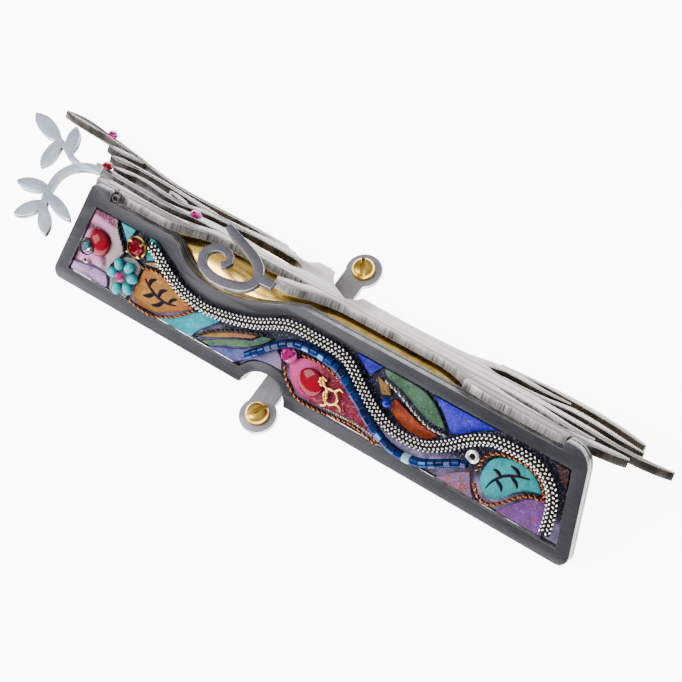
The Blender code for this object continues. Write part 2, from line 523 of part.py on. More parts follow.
def make_tree():
    tree = link("tree_plate", prism_mesh("tree_plate", TRUNK, -PLATE, 0.0, False), tree_side, steel_pale)
    for name, spine in LIMBS.items():
        limb = prism_mesh(name, ribbon(spine), -PLATE, 0.0, False)
        cut(tree, cutter(name, limb, tree_side), "UNION")
    for name, ends in LEAVES.items():
        blade = prism_mesh(name, leaf(*ends), -PLATE, 0.0, False)
        cut(tree, cutter(name, blade, tree_side), "UNION")
    clear = STACK + GAP
    for name, x0, x1 in (("top_tab_clearance", -80.0, end_x(-1, 0) + TAB_LEFT + GAP),
                         ("bottom_tab_clearance", end_x(1, 0) - TAB_RIGHT - GAP, 80.0)):
        block = [(x0, -3.0), (x1, -3.0), (x1, clear), (x0, clear)]
        cut(tree, cutter(name, prism_mesh(name, block, -PLATE - 1, 1.0, False), tree_side))
    edge = [(-90.0, -5.0), (90.0, -5.0), (90.0, SEAT_DEPTH), (-90.0, SEAT_DEPTH)]
    cut(tree, cutter("seat_trim", prism_mesh("seat_trim", edge, -PLATE - 1, 1.0, False), tree_side))
    bend_tips(tree)
    for name, x, w, r, finish in (("tree_stone_pink", -42.2, 9.8, 1.5, pink_glass),
                                  ("tree_stone_red", -68.6, 10.2, 1.5, red_glass),
                                  ("tree_stone_pink_outer", -79.2, 25.2, 1.4, pink_glass)):
        gem = turned_mesh(name, cut_stone(r, GAP, 1.3), 8)
        link(name, gem, tree_side, finish, (x * MM, w * MM, tip_lift(x, w) * MM))


# ---- pieces that face the front, parallel to the doorpost ----
CURL_LOW = 15.4
CURL = {
    "curled_branch": [(-67.2, 4.9, 1.8), (-70.5, 4.2, 2.0), (-73.6, 2.2, 2.1), (-75.2, -1.0, 2.0),
                      (-75.0, -5.0, 1.9), (-73.8, -8.4, 1.8), (-72.5, -10.4, 1.8)],
    "curl_shoot": [(-72.6, 3.4, 1.6), (-75.6, 4.2, 1.6), (-79.0, 5.9, 1.5), (-82.4, 6.9, 1.4)],
}
CURL_LEAVES = {
    "curl_leaf_1": ((-82.0, 6.8), (-91.2, 9.8), 3.9),
    "curl_leaf_2": ((-81.0, 6.4), (-80.6, -1.4), 3.5),
    "curl_leaf_3": ((-77.2, 5.0), (-80.0, 11.6), 3.3),
    "curl_leaf_4": ((-75.6, -5.2), (-83.2, -7.2), 3.4),
    "curl_leaf_5": ((-73.8, -8.8), (-78.0, -14.6), 3.5),
    "curl_leaf_6": ((-74.2, -6.4), (-65.4, -9.3), 3.0),
    "curl_leaf_7": ((-72.8, -9.8), (-68.0, -15.2), 3.2),
}
ORNAMENT_LOW = 19.25
ORNAMENT = {
    "scroll_ornament": [(-30.6, 6.3, 1.6), (-27.6, 5.0, 2.1), (-23.6, 3.7, 2.2), (-19.8, 2.0, 2.3),
                        (-17.2, -0.8, 2.3), (-17.9, -3.8, 2.3), (-21.4, -5.5, 2.3), (-26.0, -5.9, 2.2),
                        (-29.9, -4.4, 2.1), (-31.1, -1.6, 2.0), (-29.4, 0.6, 1.9), (-26.6, 0.7, 1.8),
                        (-24.9, -1.1, 1.7), (-26.2, -2.6, 1.4)],
    "ornament_neck": [(-18.0, -1.2, 2.4), (-15.6, -1.0, 2.2), (-13.2, -0.9, 2.0)],
}


def joined(name, shapes, low, finish):
    """One flat piece parallel to the doorpost, joined from overlapping outlines."""
    high = low + SHEET_BENT
    first, *rest = shapes.items()
    body = link(name, prism_mesh(name, first[1], low, high, False), wall_side, finish)
    for part, outline in rest:
        cut(body, cutter(part, prism_mesh(part, outline, low, high, False), wall_side), "UNION")
    return body


def make_front_pieces():
    shapes = {name: ribbon(spine) for name, spine in CURL.items()}
    shapes.update({name: leaf(*ends) for name, ends in CURL_LEAVES.items()})
    joined("curled_branch", shapes, CURL_LOW, steel_blue)
    shapes = {name: ribbon(spine) for name, spine in ORNAMENT.items()}
    joined("scroll_ornament", shapes, ORNAMENT_LOW, steel_violet)


# ---- scroll, tube, strap and screws ----
def along_x(name, mesh, finish, x=0.0):
    """A turned piece whose axis lies along the tube, its z = 0 at this x."""
    obj = link(name, mesh, None, finish, (x * MM, TUBE_Y * MM, TUBE_Z * MM))
    obj.rotation_euler = (0.0, math.pi / 2, 0.0)
    return obj


def make_tube():
    inner = TUBE_R - TUBE_WALL
    section = [(inner, TUBE_START), (TUBE_R, TUBE_START), (TUBE_R, TUBE_END), (inner, TUBE_END)]
    along_x("brass_tube", ring_mesh("brass_tube", section, 24), brass)
    spigot = inner - GAP
    cap = [(0, 0), (TUBE_R, 0), (TUBE_R, CAP_WALL), (spigot, CAP_WALL), (spigot, 4.0), (0, 4.0)]
    along_x("tube_end_cap", turned_mesh("tube_end_cap", cap, 24), brass, TUBE_START - CAP_WALL - GAP)
    head = PLUG_GRIP + GAP
    plug = [(0, 0), (spigot, 0), (spigot, head), (TUBE_R, head), (TUBE_R, head + PLUG_HEAD - 0.5),
            (TUBE_R - 0.5, head + PLUG_HEAD), (0, head + PLUG_HEAD)]
    along_x("tube_plug", turned_mesh("tube_plug", plug, 24), brass, TUBE_END - PLUG_GRIP)
    scroll = [(0, 0), (SCROLL_R, 0), (SCROLL_R, SCROLL_LENGTH), (0, SCROLL_LENGTH)]
    along_x("parchment_scroll", turned_mesh("parchment_scroll", scroll, 16), parchment, TUBE_START + 5.0)


def strap_outline():
    """A bar across the case with a round tab at each end."""
    half = STRAP_WIDTH / 2
    reach_right = math.asin((STRAP_X + half - SCREW_X) / DISC_R)
    reach_left = math.asin((SCREW_X - STRAP_X + half) / DISC_R)
    right, left = math.degrees(reach_right), math.degrees(reach_left)
    low = arc(SCREW_X, SCREW_PANEL_Y, DISC_R, 90 - right, -270 + left, 22)
    high = arc(SCREW_X, SCREW_TREE_Y, DISC_R, -90 - left, -450 + right, 22)
    return low + high


def make_strap():
    strap = link("mounting_strap", prism_mesh("mounting_strap", strap_outline(), 0.0, STRAP_THICK, False),
                 wall_side, steel_pale)
    for name, y in (("hole_panel_side", SCREW_PANEL_Y), ("hole_tree_side", SCREW_TREE_Y)):
        hole = turned_mesh(name, [(0, -1), (HOLE_R, -1), (HOLE_R, STRAP_THICK + 1), (0, STRAP_THICK + 1)], 20)
        cut(strap, cutter(name, hole, wall_side, (SCREW_X * MM, y * MM, 0)))


def make_screw(name, y, turn):
    under = STRAP_THICK + GAP / 3
    tip = under - SHANK_LONG
    profile = [(0, tip), (SHANK_R * 0.8, tip + 2.4), (SHANK_R, tip + 4),
               (SHANK_R, under), (HEAD_R, under), (HEAD_R, under + 0.4)]
    for a in (25, 48, 70):
        profile.append((HEAD_R * math.cos(math.radians(a)) ** 0.7,
                        under + 0.4 + (HEAD_HIGH - 0.4) * math.sin(math.radians(a))))
    profile.append((0, under + HEAD_HIGH))
    screw = link(name, turned_mesh(name, profile, 20), wall_side, brass, (SCREW_X * MM, y * MM, 0))
    screw.rotation_euler = (0, 0, turn)
    top = under + HEAD_HIGH
    half = SLOT_WIDE / 2
    corners = [(-4, -half), (4, -half), (4, half), (-4, half)]
    slot = prism_mesh(name + "_slot", corners, top - SLOT_DEEP, top + 1, False)
    cut(screw, cutter(name + "_slot", slot, screw))


clear_scene()
helper = material("helper", (1.0, 0.0, 1.0))
steel_dark = material("darkened steel", (0.13, 0.13, 0.14), 0.8, 0.45)
steel_pale = material("satin steel", (0.62, 0.60, 0.58), 0.9, 0.32)
steel_blue = material("polished steel", (0.66, 0.70, 0.76), 0.9, 0.28)
steel_violet = material("brushed steel", (0.38, 0.36, 0.40), 0.9, 0.35)
brass = material("polished brass", (0.80, 0.58, 0.18), 1.0, 0.18)
bed_clay = material("collage bed", (0.10, 0.07, 0.08), 0.0, 0.6)
parchment = material("parchment", (0.82, 0.74, 0.56), 0.0, 0.7)
red_glass = material("red glass", (0.65, 0.01, 0.03), 0.0, 0.06)
pink_glass = material("pink glass", (0.85, 0.12, 0.50), 0.0, 0.08)
clay = {
    "marble": material("marbled clay", (0.62, 0.50, 0.54)),
    "lilac": material("lilac clay", (0.42, 0.34, 0.52)),
    "turquoise": material("turquoise clay", (0.10, 0.48, 0.52)),
    "orange": material("amber clay", (0.72, 0.34, 0.12)),
    "rust": material("rust clay", (0.60, 0.16, 0.04)),
    "green": material("green clay", (0.16, 0.36, 0.22)),
    "pink": material("raspberry clay", (0.62, 0.10, 0.24)),
    "royal": material("royal blue clay", (0.06, 0.08, 0.55)),
    "olive": material("olive clay", (0.17, 0.30, 0.20)),
    "purple": material("violet clay", (0.28, 0.12, 0.42)),
    "maroon": material("maroon clay", (0.16, 0.04, 0.06)),
    "pearl": material("pearl clay", (0.55, 0.62, 0.64)),
}
trims = {
    "mesh": material("silver mesh", (0.50, 0.50, 0.48), 1.0, 0.3), "bead_blue": material("blue glass", (0.01, 0.06, 0.30)),
    "copper": material("copper wire", (0.55, 0.26, 0.14), 1.0, 0.3), "black_wire": material("black wire", (0.04, 0.04, 0.04)),
    "silver_wire": material("silver wire", (0.6, 0.6, 0.58), 1.0, 0.25), "gold": material("gilt metal", (0.75, 0.52, 0.20), 1.0, 0.25),
    "petal": material("turquoise glass", (0.10, 0.55, 0.60)), "crystal": material("clear crystal", (0.60, 0.80, 0.82)),
    "glass_red": red_glass, "pink": pink_glass,
}
panel_side = empty("panel_side", (0, 0, RIDGE_HIGH * MM), SLOPE)
tree_side = empty("tree_side", (0, 0, RIDGE_HIGH * MM), -SLOPE)
wall_side = empty("wall_side", (0, 0, 0), 0.0)
make_panel()
make_cells(clay)
make_wires(trims)
make_stones(trims)
make_tree()
make_front_pieces()
make_tube()
make_strap()
make_screw("screw_panel_side", SCREW_PANEL_Y, math.radians(63))
make_screw("screw_tree_side", SCREW_TREE_Y, math.radians(121))
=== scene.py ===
"""Looks of the mezuzah case: finishes, woven chain, beads, twisted wires, stones and cut steel plates.

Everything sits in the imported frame, in metres. The two plates have a lie of their own: x along the case,
y up the slope towards the ridge on the panel and down the slope on the tree plate, z out of the face.
Sizes in the tables below are millimetres, with MM to turn them into metres.
"""

import json
import math
import random

import bmesh
import bpy
from mathutils import Matrix, Vector


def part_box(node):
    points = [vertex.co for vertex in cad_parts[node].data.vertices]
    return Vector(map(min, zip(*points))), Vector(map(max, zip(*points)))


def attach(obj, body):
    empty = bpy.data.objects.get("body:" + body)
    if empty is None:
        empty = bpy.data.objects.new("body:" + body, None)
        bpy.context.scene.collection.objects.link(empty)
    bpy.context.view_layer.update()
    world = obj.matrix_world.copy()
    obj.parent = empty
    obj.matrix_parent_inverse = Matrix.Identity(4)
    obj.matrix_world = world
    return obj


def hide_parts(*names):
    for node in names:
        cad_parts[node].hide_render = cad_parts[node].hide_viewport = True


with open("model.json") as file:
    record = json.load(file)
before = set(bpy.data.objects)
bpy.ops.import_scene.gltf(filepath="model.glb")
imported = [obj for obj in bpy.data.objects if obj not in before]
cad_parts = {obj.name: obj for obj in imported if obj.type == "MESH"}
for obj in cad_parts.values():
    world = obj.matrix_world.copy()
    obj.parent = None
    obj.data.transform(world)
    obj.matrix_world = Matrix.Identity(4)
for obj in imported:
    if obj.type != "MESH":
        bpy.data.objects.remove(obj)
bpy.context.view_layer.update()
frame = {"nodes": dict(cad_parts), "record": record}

MM = 0.001
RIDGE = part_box("panel_frame")[1][2]
PANEL = Matrix.Translation((0, 0, RIDGE)) @ Matrix.Rotation(math.radians(45), 4, "X")
TREE = Matrix.Translation((0, 0, RIDGE)) @ Matrix.Rotation(math.radians(-45), 4, "X")
WALL = Matrix.Identity(4)
OUT = Vector((0, 0, 1))   # out of a plate's face

FLOOR_GLOW = 9.0     # the table's own light, as if lit from below
SKY_HIGH, SKY_LOW = 1.3, 0.10
KEY_WATTS = 11.0
TIP_BEND = 2.4       # how far the outer branch's tip is bent out of the tree plate


# ---- finishes
def sums(operation, reflected=False):
    """A method of Amount that adds one Math node."""
    def method(self, other):
        first, second = (other, self) if reflected else (self, other)
        return self.finish.node("ShaderNodeMath", {"operation": operation}, {0: first, 1: second})
    return method


class Amount:
    """A number that changes over a surface. Sums on it add Math nodes."""

    def __init__(self, finish, socket):
        self.finish = finish
        self.socket = socket

    __add__, __radd__ = sums("ADD"), sums("ADD", True)
    __sub__, __rsub__ = sums("SUBTRACT"), sums("SUBTRACT", True)
    __mul__, __rmul__ = sums("MULTIPLY"), sums("MULTIPLY", True)
    __gt__ = sums("GREATER_THAN")


class Finish:
    """A material and the few ways its nodes are put together here."""

    def __init__(self, name):
        self.material = bpy.data.materials.new(name)
        self.material.use_nodes = True
        self.nodes = self.material.node_tree.nodes
        self.shader = self.nodes["Principled BSDF"]

    def node(self, kind, settings=None, values=None, give=0):
        made = self.nodes.new(kind)
        for key, setting in (settings or {}).items():
            if key == "stops":
                self.set_stops(made.color_ramp, setting)
            else:
                setattr(made, key, setting)
        for key, value in (values or {}).items():
            self.feed(made.inputs[key], value)
        return Amount(self, made.outputs[give])

    def set_stops(self, ramp, stops):
        while len(ramp.elements) < len(stops):
            ramp.elements.new(1.0)
        for element, (place, colour) in zip(ramp.elements, stops):
            element.position = place
            element.color = (*colour, 1.0)

    def feed(self, socket, value):
        if isinstance(value, Amount):
            self.material.node_tree.links.new(value.socket, socket)
        elif isinstance(value, tuple) and len(socket.default_value) == 4:
            socket.default_value = (*value[:3], 1.0)
        else:
            socket.default_value = value

    def set(self, **sockets):
        """Feeds the shader's sockets, named in lower case with underscores."""
        for key, value in sockets.items():
            self.feed(self.shader.inputs[key.replace("_", " ").title().replace("Ior", "IOR")], value)
        return self.material

    def place(self, stretch=(1.0, 1.0, 1.0)):
        spot = self.node("ShaderNodeTexCoord", give="Object")
        return self.node("ShaderNodeVectorMath", {"operation": "MULTIPLY"}, {0: spot, 1: stretch})

    def noise(self, size, detail=3.0, stretch=(1, 1, 1), warp=0.0, rough=0.55):
        """Cloudy noise whose patches are about this many millimetres wide."""
        return self.node("ShaderNodeTexNoise", None, {"Vector": self.place(stretch), "Scale": 1000.0 / size,
                         "Detail": detail, "Roughness": rough, "Distortion": warp})

    def grit(self, size):
        """A random shade for each grain of this size."""
        cells = self.node("ShaderNodeTexVoronoi", None,
                          {"Vector": self.place(), "Scale": 1000.0 / size}, "Color")
        return self.node("ShaderNodeSeparateColor", None, {0: cells})

    def ramp(self, value, *stops):
        return self.node("ShaderNodeValToRGB", {"stops": stops}, {"Fac": value})

    def step(self, value, low, high):
        """0 below low, 1 above high."""
        return self.node("ShaderNodeMapRange", {"interpolation_type": "SMOOTHSTEP"},
                         {"Value": value, "From Min": low, "From Max": high})

    def mix(self, share, first, second):
        return self.node("ShaderNodeMix", {"data_type": "RGBA"}, {0: share, 6: first, 7: second}, 2)

    def bump(self, height, depth):
        """Relief of this many millimetres."""
        return self.node("ShaderNodeBump", None, {"Height": height, "Distance": depth * MM})

    def mark(self, name):
        """A number stored on the mesh for each face."""
        return self.node("ShaderNodeAttribute", {"attribute_name": name}, give="Fac")

    def along(self, axis):
        """Where the surface lies along one axis of its piece, in metres."""
        return self.node("ShaderNodeSeparateXYZ", None, {0: self.place()}, axis)


def plate_steel(name, face, pale, foot, brow, arris_highlight, metal, rough, grain, striped=0.0, back=None, painted_face_shade=None):
    """Sheet steel: a satin face with fine grain, a painted highlight along the arris, and cut walls from foot
    to brow.

    The walls of a plate that turns from the light, from 7 mm on, can have a pair of darker tones of their
    own, a painted shade, and its face can be painted darker towards its upper end, also a painted shade.
    """
    made = Finish(name)
    cloud = made.noise(9.0, 4.0)
    brushed = made.noise(0.35, 2.0, grain)
    top = made.ramp(cloud * 0.55 + brushed * 0.45, (0.3, face), (0.72, pale))
    # Painted shade: the face is painted darker towards the upper end.
    if painted_face_shade:
        top = made.mix(made.step(made.along("X"), 0.012, -0.026) * (0.45 + 0.55 * brushed), top, painted_face_shade)
    stripes = made.noise(0.34, 3.0, (1, 1, 0.03), rough=0.7)
    soft = made.noise(3.0, 2.0, (1, 1, 0.3))
    wall = made.ramp(soft * (1 - striped) + stripes * striped, (0.38, foot), (0.6, brow))
    # Painted shade: walls that turn from the light take the darker pair of tones, by half at the left end,
    # fully at the right end and from 7 mm across on.
    if back:
        shaded = made.ramp(soft * 0.75 + stripes * 0.25, (0.40, back[0]), (0.68, back[1]))
        wall = made.mix(made.step(made.along("X"), -0.012, -0.030) * 0.5, wall, shaded)
        wall = made.mix(made.step(made.along("X"), 0.0615, 0.0635), wall, shaded)
        wall = made.mix(made.step(made.along("Y"), 0.0068, 0.0098), wall, shaded)
    cut = made.mark("cut")
    walls = made.step(cut, 0.75, 0.95)
    # The rounded arris next to the face is painted in a pale colour: a painted highlight.
    rubbed = made.step(cut, 0.08, 0.25) * (1 - walls)
    colour = made.mix(rubbed * 0.8, made.mix(walls, top, wall), arris_highlight)
    relief = brushed * (1 - walls) * 0.25 + stripes * walls * striped
    return made.set(base_color=colour, metallic=metal, roughness=rough + 0.16 * brushed - 0.08,
                    specular_ior_level=0.2, normal=made.bump(relief, 0.04))


def brass_finish(name, colour, dark, rough, stain):
    """Polished brass with soft stains and fine rubbing marks."""
    made = Finish(name)
    cloud = made.noise(5.0, 4.0, warp=0.4)
    rub = made.noise(0.5, 2.0, (0.06, 1, 1))
    tone = made.mix(made.step(cloud, 0.42, 0.72) * stain, colour, dark)
    return made.set(base_color=tone, metallic=1.0, roughness=rough + 0.14 * cloud + 0.06 * rub,
                    normal=made.bump(rub, 0.01))


def inlay(name, first, second, third, size=3.0, swirl=1.5, stretch=(1, 1, 1), glitter=0.16, fade=None):
    """Pearly polymer clay in two marbled tones with a third in the veins, and mica glitter in it.

    A fade names where along the case it starts and ends, and the colour that it ends in.
    """
    made = Finish(name)
    cloud = made.noise(size, 4.0, stretch, swirl)
    vein = made.noise(size * 0.6, 3.0, stretch, swirl * 1.4)
    mica = made.grit(0.24)
    tone = made.ramp(cloud, (0.34, first), (0.64, second))
    if fade:
        start, end, colour = fade
        reach = made.along("X") + (cloud - 0.5) * 0.006
        tone = made.mix(made.step(reach, start * MM, end * MM), tone, colour)
    tone = made.mix(made.step(vein, 0.56, 0.66) * 0.7, tone, third)
    lit = tuple(min(1.0, 0.15 + 1.2 * c) for c in second)
    tone = made.mix((mica > 0.86) * glitter, tone, lit)
    tone = made.mix(made.step(mica, 0.14, 0.06) * glitter * 0.8, tone, tuple(0.2 * c for c in first))
    return made.set(base_color=tone, roughness=0.34 + 0.25 * mica, specular_ior_level=0.1,
                    normal=made.bump(cloud * 0.6 + mica * 0.25, 0.06))


def arcs_finish():
    """Rose clay laid in bows round the red dome, fading to pearl on its right."""
    made = Finish("rose and pearl clay")
    centre = made.node("ShaderNodeVectorMath", {"operation": "SUBTRACT"},
                       {0: made.place(), 1: (-0.0600, -0.0185, 0.0)})
    bows = made.node("ShaderNodeTexWave", {"wave_type": "RINGS", "rings_direction": "Z"},
                     {"Vector": centre, "Scale": 75.0, "Distortion": 2.4, "Detail": 1.0, "Detail Scale": 0.8},
                     "Fac")
    mica = made.grit(0.24)
    tone = made.ramp(bows, (0.12, (0.07, 0.006, 0.025)), (0.40, (0.20, 0.045, 0.13)),
                     (0.8, (0.34, 0.14, 0.28)))
    reach = made.along("X") + (bows - 0.5) * 0.002
    tone = made.mix(made.step(reach, -0.0575, -0.0555) * 0.92, tone, (0.26, 0.20, 0.21))
    tone = made.mix((mica > 0.85) * 0.2, tone, (0.55, 0.50, 0.54))
    return made.set(base_color=tone, roughness=0.34 + 0.2 * mica, specular_ior_level=0.1,
                    normal=made.bump(bows * 0.5 + mica * 0.3, 0.08))


def glass(name, colour, deep, painted_highlight_colour, rough=0.04):
    """Coloured glass read as a deep glossy body. Each facet is painted with its own share of light, from a
    painted shade through the glass's colour up to a painted highlight.
    """
    made = Finish(name)
    tone = made.ramp(made.mark("tint"), (0.0, deep), (0.55, colour), (0.86, colour), (1.0, painted_highlight_colour))
    return made.set(base_color=tone, roughness=rough, specular_ior_level=0.14)


def crystal_finish():
    """Clear cut crystal with a rainbow coating, mirrored behind. Each facet takes a random shade from near
    black to near white, a painted reflection; the teal tones stand for the coating.
    """
    made = Finish("rainbow crystal")
    tone = made.ramp(made.mark("tint"), (0.0, (0.005, 0.012, 0.02)), (0.3, (0.01, 0.10, 0.16)),
                     (0.5, (0.20, 0.45, 0.52)), (0.7, (0.01, 0.02, 0.06)), (1.0, (0.80, 0.90, 0.92)))
    return made.set(base_color=tone, metallic=0.75, roughness=0.06, coat_weight=1.0)


def metal_thread(name, colour, dark, rough=0.28, worn=0.6):
    """Wire or woven strand, tarnished in patches."""
    made = Finish(name)
    cloud = made.noise(0.9, 3.0)
    share = made.mark("tint") * 0.8 + made.step(cloud, 0.35, 0.75) * worn
    tone = made.mix(share, colour, dark)
    return made.set(base_color=tone, metallic=1.0, roughness=rough + 0.15 * cloud)


def parchment_finish():
    made = Finish("parchment")
    fibre = made.noise(0.8, 4.0, (0.25, 1, 1))
    cloud = made.noise(7.0, 3.0)
    tone = made.ramp(fibre * 0.4 + cloud * 0.6, (0.3, (0.66, 0.53, 0.33)), (0.7, (0.88, 0.80, 0.62)))
    return made.set(base_color=tone, roughness=0.72, normal=made.bump(fibre, 0.03))


def bed_finish():
    """The ground between the inlays: dark near the ridge, pearly lilac along the lower edge."""
    made = Finish("collage ground")
    lower = made.step(made.along("Y"), -0.0150, -0.0195)
    cloud = made.noise(4.0, 4.0, warp=1.2)
    mica = made.grit(0.25)
    dark = made.ramp(cloud, (0.35, (0.002, 0.003, 0.010)), (0.7, (0.014, 0.013, 0.03)))
    lilac = made.ramp(cloud, (0.3, (0.05, 0.04, 0.09)), (0.7, (0.20, 0.16, 0.27)))
    tone = made.mix(lower, dark, lilac)
    tone = made.mix((mica > 0.88) * 0.2, tone, (0.4, 0.4, 0.55))
    return made.set(base_color=tone, roughness=0.4 + 0.2 * mica, specular_ior_level=0.1,
                    normal=made.bump(mica, 0.05))


def paper_finish():
    made = Finish("white table")
    tooth = made.noise(1.2, 3.0)
    tone = made.ramp(made.noise(120.0, 2.0), (0.3, (0.88, 0.88, 0.885)), (0.7, (0.92, 0.92, 0.92)))
    return made.set(base_color=tone, roughness=0.75, normal=made.bump(tooth, 0.03),
                    emission_color=(1.0, 0.995, 0.99), emission_strength=FLOOR_GLOW)


# ---- making pieces
def settle(piece, slot, *nodes, body="case"):
    """Fastens a finished piece to its body and hides the CAD nodes that it stands for."""
    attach(piece, body)
    if nodes:
        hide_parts(*nodes)
    return piece


def piece_from(bm, name, finish, lie=PANEL, smooth=60.0, tint=None):
    """A piece from its faces. A per-face function, if given, gives each face the number that its finish
    reads: a share of painted light on glass and stones, the tone of a strand on wire.
    """
    bmesh.ops.recalc_face_normals(bm, faces=bm.faces)
    mesh = bpy.data.meshes.new(name)
    bm.to_mesh(mesh)
    bm.free()
    if tint:
        mark(mesh, "tint", [tint(face) for face in mesh.polygons])
    return dressed(mesh, name, finish, lie, smooth)


def dressed(mesh, name, finish, lie, smooth=35.0):
    """An object with its finish and its lie, smooth but for the edges sharper than this."""
    mesh.materials.clear()
    mesh.materials.append(finish)
    mesh.shade_smooth()
    mesh.set_sharp_from_angle(angle=math.radians(smooth))
    made = stand(name, mesh)
    made.matrix_world = lie
    return made


def stand(name, data):
    """An object in the scene for this data."""
    made = bpy.data.objects.new(name, data)
    bpy.context.scene.collection.objects.link(made)
    return made


def mark(mesh, name, values):
    """Stores one number per face for a finish to read."""
    mesh.attributes.new(name, "FLOAT", "FACE").data.foreach_set("value", values)


def painted_top_light(level, high, most=1.0):
    """A share of painted light that grows with the height over a level, up to the most: painted highlight
    towards the top, painted shade towards the foot.
    """
    return lambda face: min(most, max(0.0, (face.center.z - level) / MM / high))


def tip_lift(x, y):
    """How far the outer branch is bent out of the tree plate at this point."""
    along = min(1.0, max(0.0, (-64.0 - x / MM) / 28.0))
    outward = min(1.0, max(0.0, (y / MM - 17.0) / 3.0))
    return TIP_BEND * MM * along * along * (3 - 2 * along) * outward


def flat(x, y):
    """The bend of a plate that isn't bent."""
    return 0.0


def rims(node, lie, height, bend):
    """The closed outlines, in the plate's own plane, of the CAD plate's face at this height over it."""
    bm = bmesh.new()
    bm.from_mesh(frame["nodes"][node].data)
    bm.transform(lie.inverted())
    for vert in bm.verts:
        vert.co.z -= bend(vert.co.x, vert.co.y)
    bmesh.ops.remove_doubles(bm, verts=bm.verts, dist=3e-6)
    level = [f for f in bm.faces if all(abs(v.co.z - height) < 3e-5 for v in f.verts)]
    known = set(level)
    after = {}
    for face in level:
        for corner in face.loops:
            if sum(f in known for f in corner.edge.link_faces) == 1:
                after.setdefault(corner.vert, []).append(corner.link_loop_next.vert)
    loops = []
    while after:
        start = next(iter(after))
        loop, here = [], start
        while here in after:
            loop.append(here.co.xy.copy())
            onward = after[here].pop()
            if not after[here]:
                del after[here]
            here = onward
        loops.append(loop)
    bm.free()
    return loops


def softened(loop, corner=38.0, step=0.4 * MM):
    """The outline with smooth runs through its gentle points. Sharp corners and long straights stay."""
    points = [p for i, p in enumerate(loop) if (p - loop[i - 1]).length > 0.12 * MM]
    count = len(points)
    if count < 5:
        return points
    runs = [(points[(i + 1) % count] - points[i]) for i in range(count)]
    lengths = [run.length for run in runs]
    ways = [run.normalized() for run in runs]
    out = []
    low = Vector((min(p.x for p in points), min(p.y for p in points)))
    high = Vector((max(p.x for p in points), max(p.y for p in points)))

    def heading(i, own):
        """The direction through point i, as the run number own sees it."""
        before, later = (i - 1) % count, i % count
        if ways[before].angle(ways[later]) > math.radians(corner):
            return ways[own]
        if lengths[before] > 2.5 * lengths[later]:
            return ways[before]
        if lengths[later] > 2.5 * lengths[before]:
            return ways[later]
        return (ways[before] * lengths[later] + ways[later] * lengths[before]).normalized()

    for i in range(count):
        a, b, span = points[i], points[(i + 1) % count], lengths[i]
        ta, tb = heading(i, i), heading(i + 1, i)
        bends = ta.angle(ways[i]) + tb.angle(ways[i])
        pieces = max(1, math.ceil(span / step)) if bends > 0.02 else 1
        for k in range(pieces):
            t = k / pieces
            p = ((2 * t**3 - 3 * t**2 + 1) * a + (t**3 - 2 * t**2 + t) * span * ta
                 + (3 * t**2 - 2 * t**3) * b + (t**3 - t**2) * span * tb)
            out.append(Vector((min(max(p.x, low.x), high.x), min(max(p.y, low.y), high.y))))
    return out


def solid_plate(loops, low, high, rounding):
    """Mesh of a plate with rounded arrises, from outlines with their holes. Its faces carry the cut mark."""
    curve = bpy.data.curves.new("outline", "CURVE")
    curve.dimensions = "2D"
    curve.fill_mode = "BOTH"
    curve.extrude = (high - low) / 2 - rounding
    curve.bevel_depth = rounding
    curve.bevel_resolution = 1
    curve.offset = -rounding
    for loop in loops:
        spline = curve.splines.new("POLY")
        spline.points.add(len(loop) - 1)
        spline.points.foreach_set("co", [c for p in loop for c in (p[0], p[1], 0.0, 1.0)])
        spline.use_cyclic_u = True
    drawn = stand("outline", curve)
    graph = bpy.context.evaluated_depsgraph_get()
    mesh = bpy.data.meshes.new_from_object(drawn.evaluated_get(graph))
    bpy.data.objects.remove(drawn)
    bpy.data.curves.remove(curve)
    bm = bmesh.new()
    bm.from_mesh(mesh)
    bmesh.ops.remove_doubles(bm, verts=bm.verts, dist=1e-6)
    bmesh.ops.recalc_face_normals(bm, faces=bm.faces)
    bmesh.ops.translate(bm, verts=bm.verts, vec=(0, 0, (low + high) / 2))
    bm.to_mesh(mesh)
    bm.free()
    mark(mesh, "cut", [1 - abs(face.normal.z) for face in mesh.polygons])
    return mesh


def heights(node, lie, bend=flat):
    """Lowest and highest point of a CAD node over a plane, as it was before bending."""
    points = [lie.inverted() @ v.co for v in frame["nodes"][node].data.vertices]
    level = [p.z - bend(p.x, p.y) for p in points]
    return min(level), max(level)


def sheet_piece(node, lie, finish, slot, rounding=0.12, lift=0.0, bend=flat):
    """A CAD plate again, with flowing outlines and rounded arrises."""
    low, high = heights(node, lie, bend)
    loops = [softened(loop) for loop in rims(node, lie, high, bend)]
    mesh = solid_plate(loops, low, high + lift * MM, rounding * MM)
    for vert in mesh.vertices:
        vert.co.z += bend(vert.co.x, vert.co.y)
    settle(dressed(mesh, node + "_cut", finish, lie), slot, node)


def spot(node, lie):
    """The middle of a CAD node's foot, in a plate's own plane."""
    inside = lie.inverted()
    points = [inside @ v.co for v in frame["nodes"][node].data.vertices]
    low = min(p.z for p in points)
    return Vector(((min(p.x for p in points) + max(p.x for p in points)) / 2,
                   (min(p.y for p in points) + max(p.y for p in points)) / 2, low))


def flowing(points, step):
    """Evenly spaced points on a smooth curve through these points."""
    knots = [Vector(p) for p in points]
    fine = []
    for i in range(len(knots) - 1):
        a, b, c, d = (knots[min(max(i + k, 0), len(knots) - 1)] for k in (-1, 0, 1, 2))
        for k in range(16):
            t = k / 16
            fine.append(0.5 * (2 * b + (c - a) * t + (2 * a - 5 * b + 4 * c - d) * t * t
                               + (3 * b - a - 3 * c + d) * t**3))
    fine.append(knots[-1])
    spaced, walked, goal = [fine[0]], 0.0, step
    for a, b in zip(fine, fine[1:]):
        span = (b - a).length
        while walked + span >= goal:
            spaced.append(a.lerp(b, (goal - walked) / span))
            goal += step
        walked += span
    return spaced


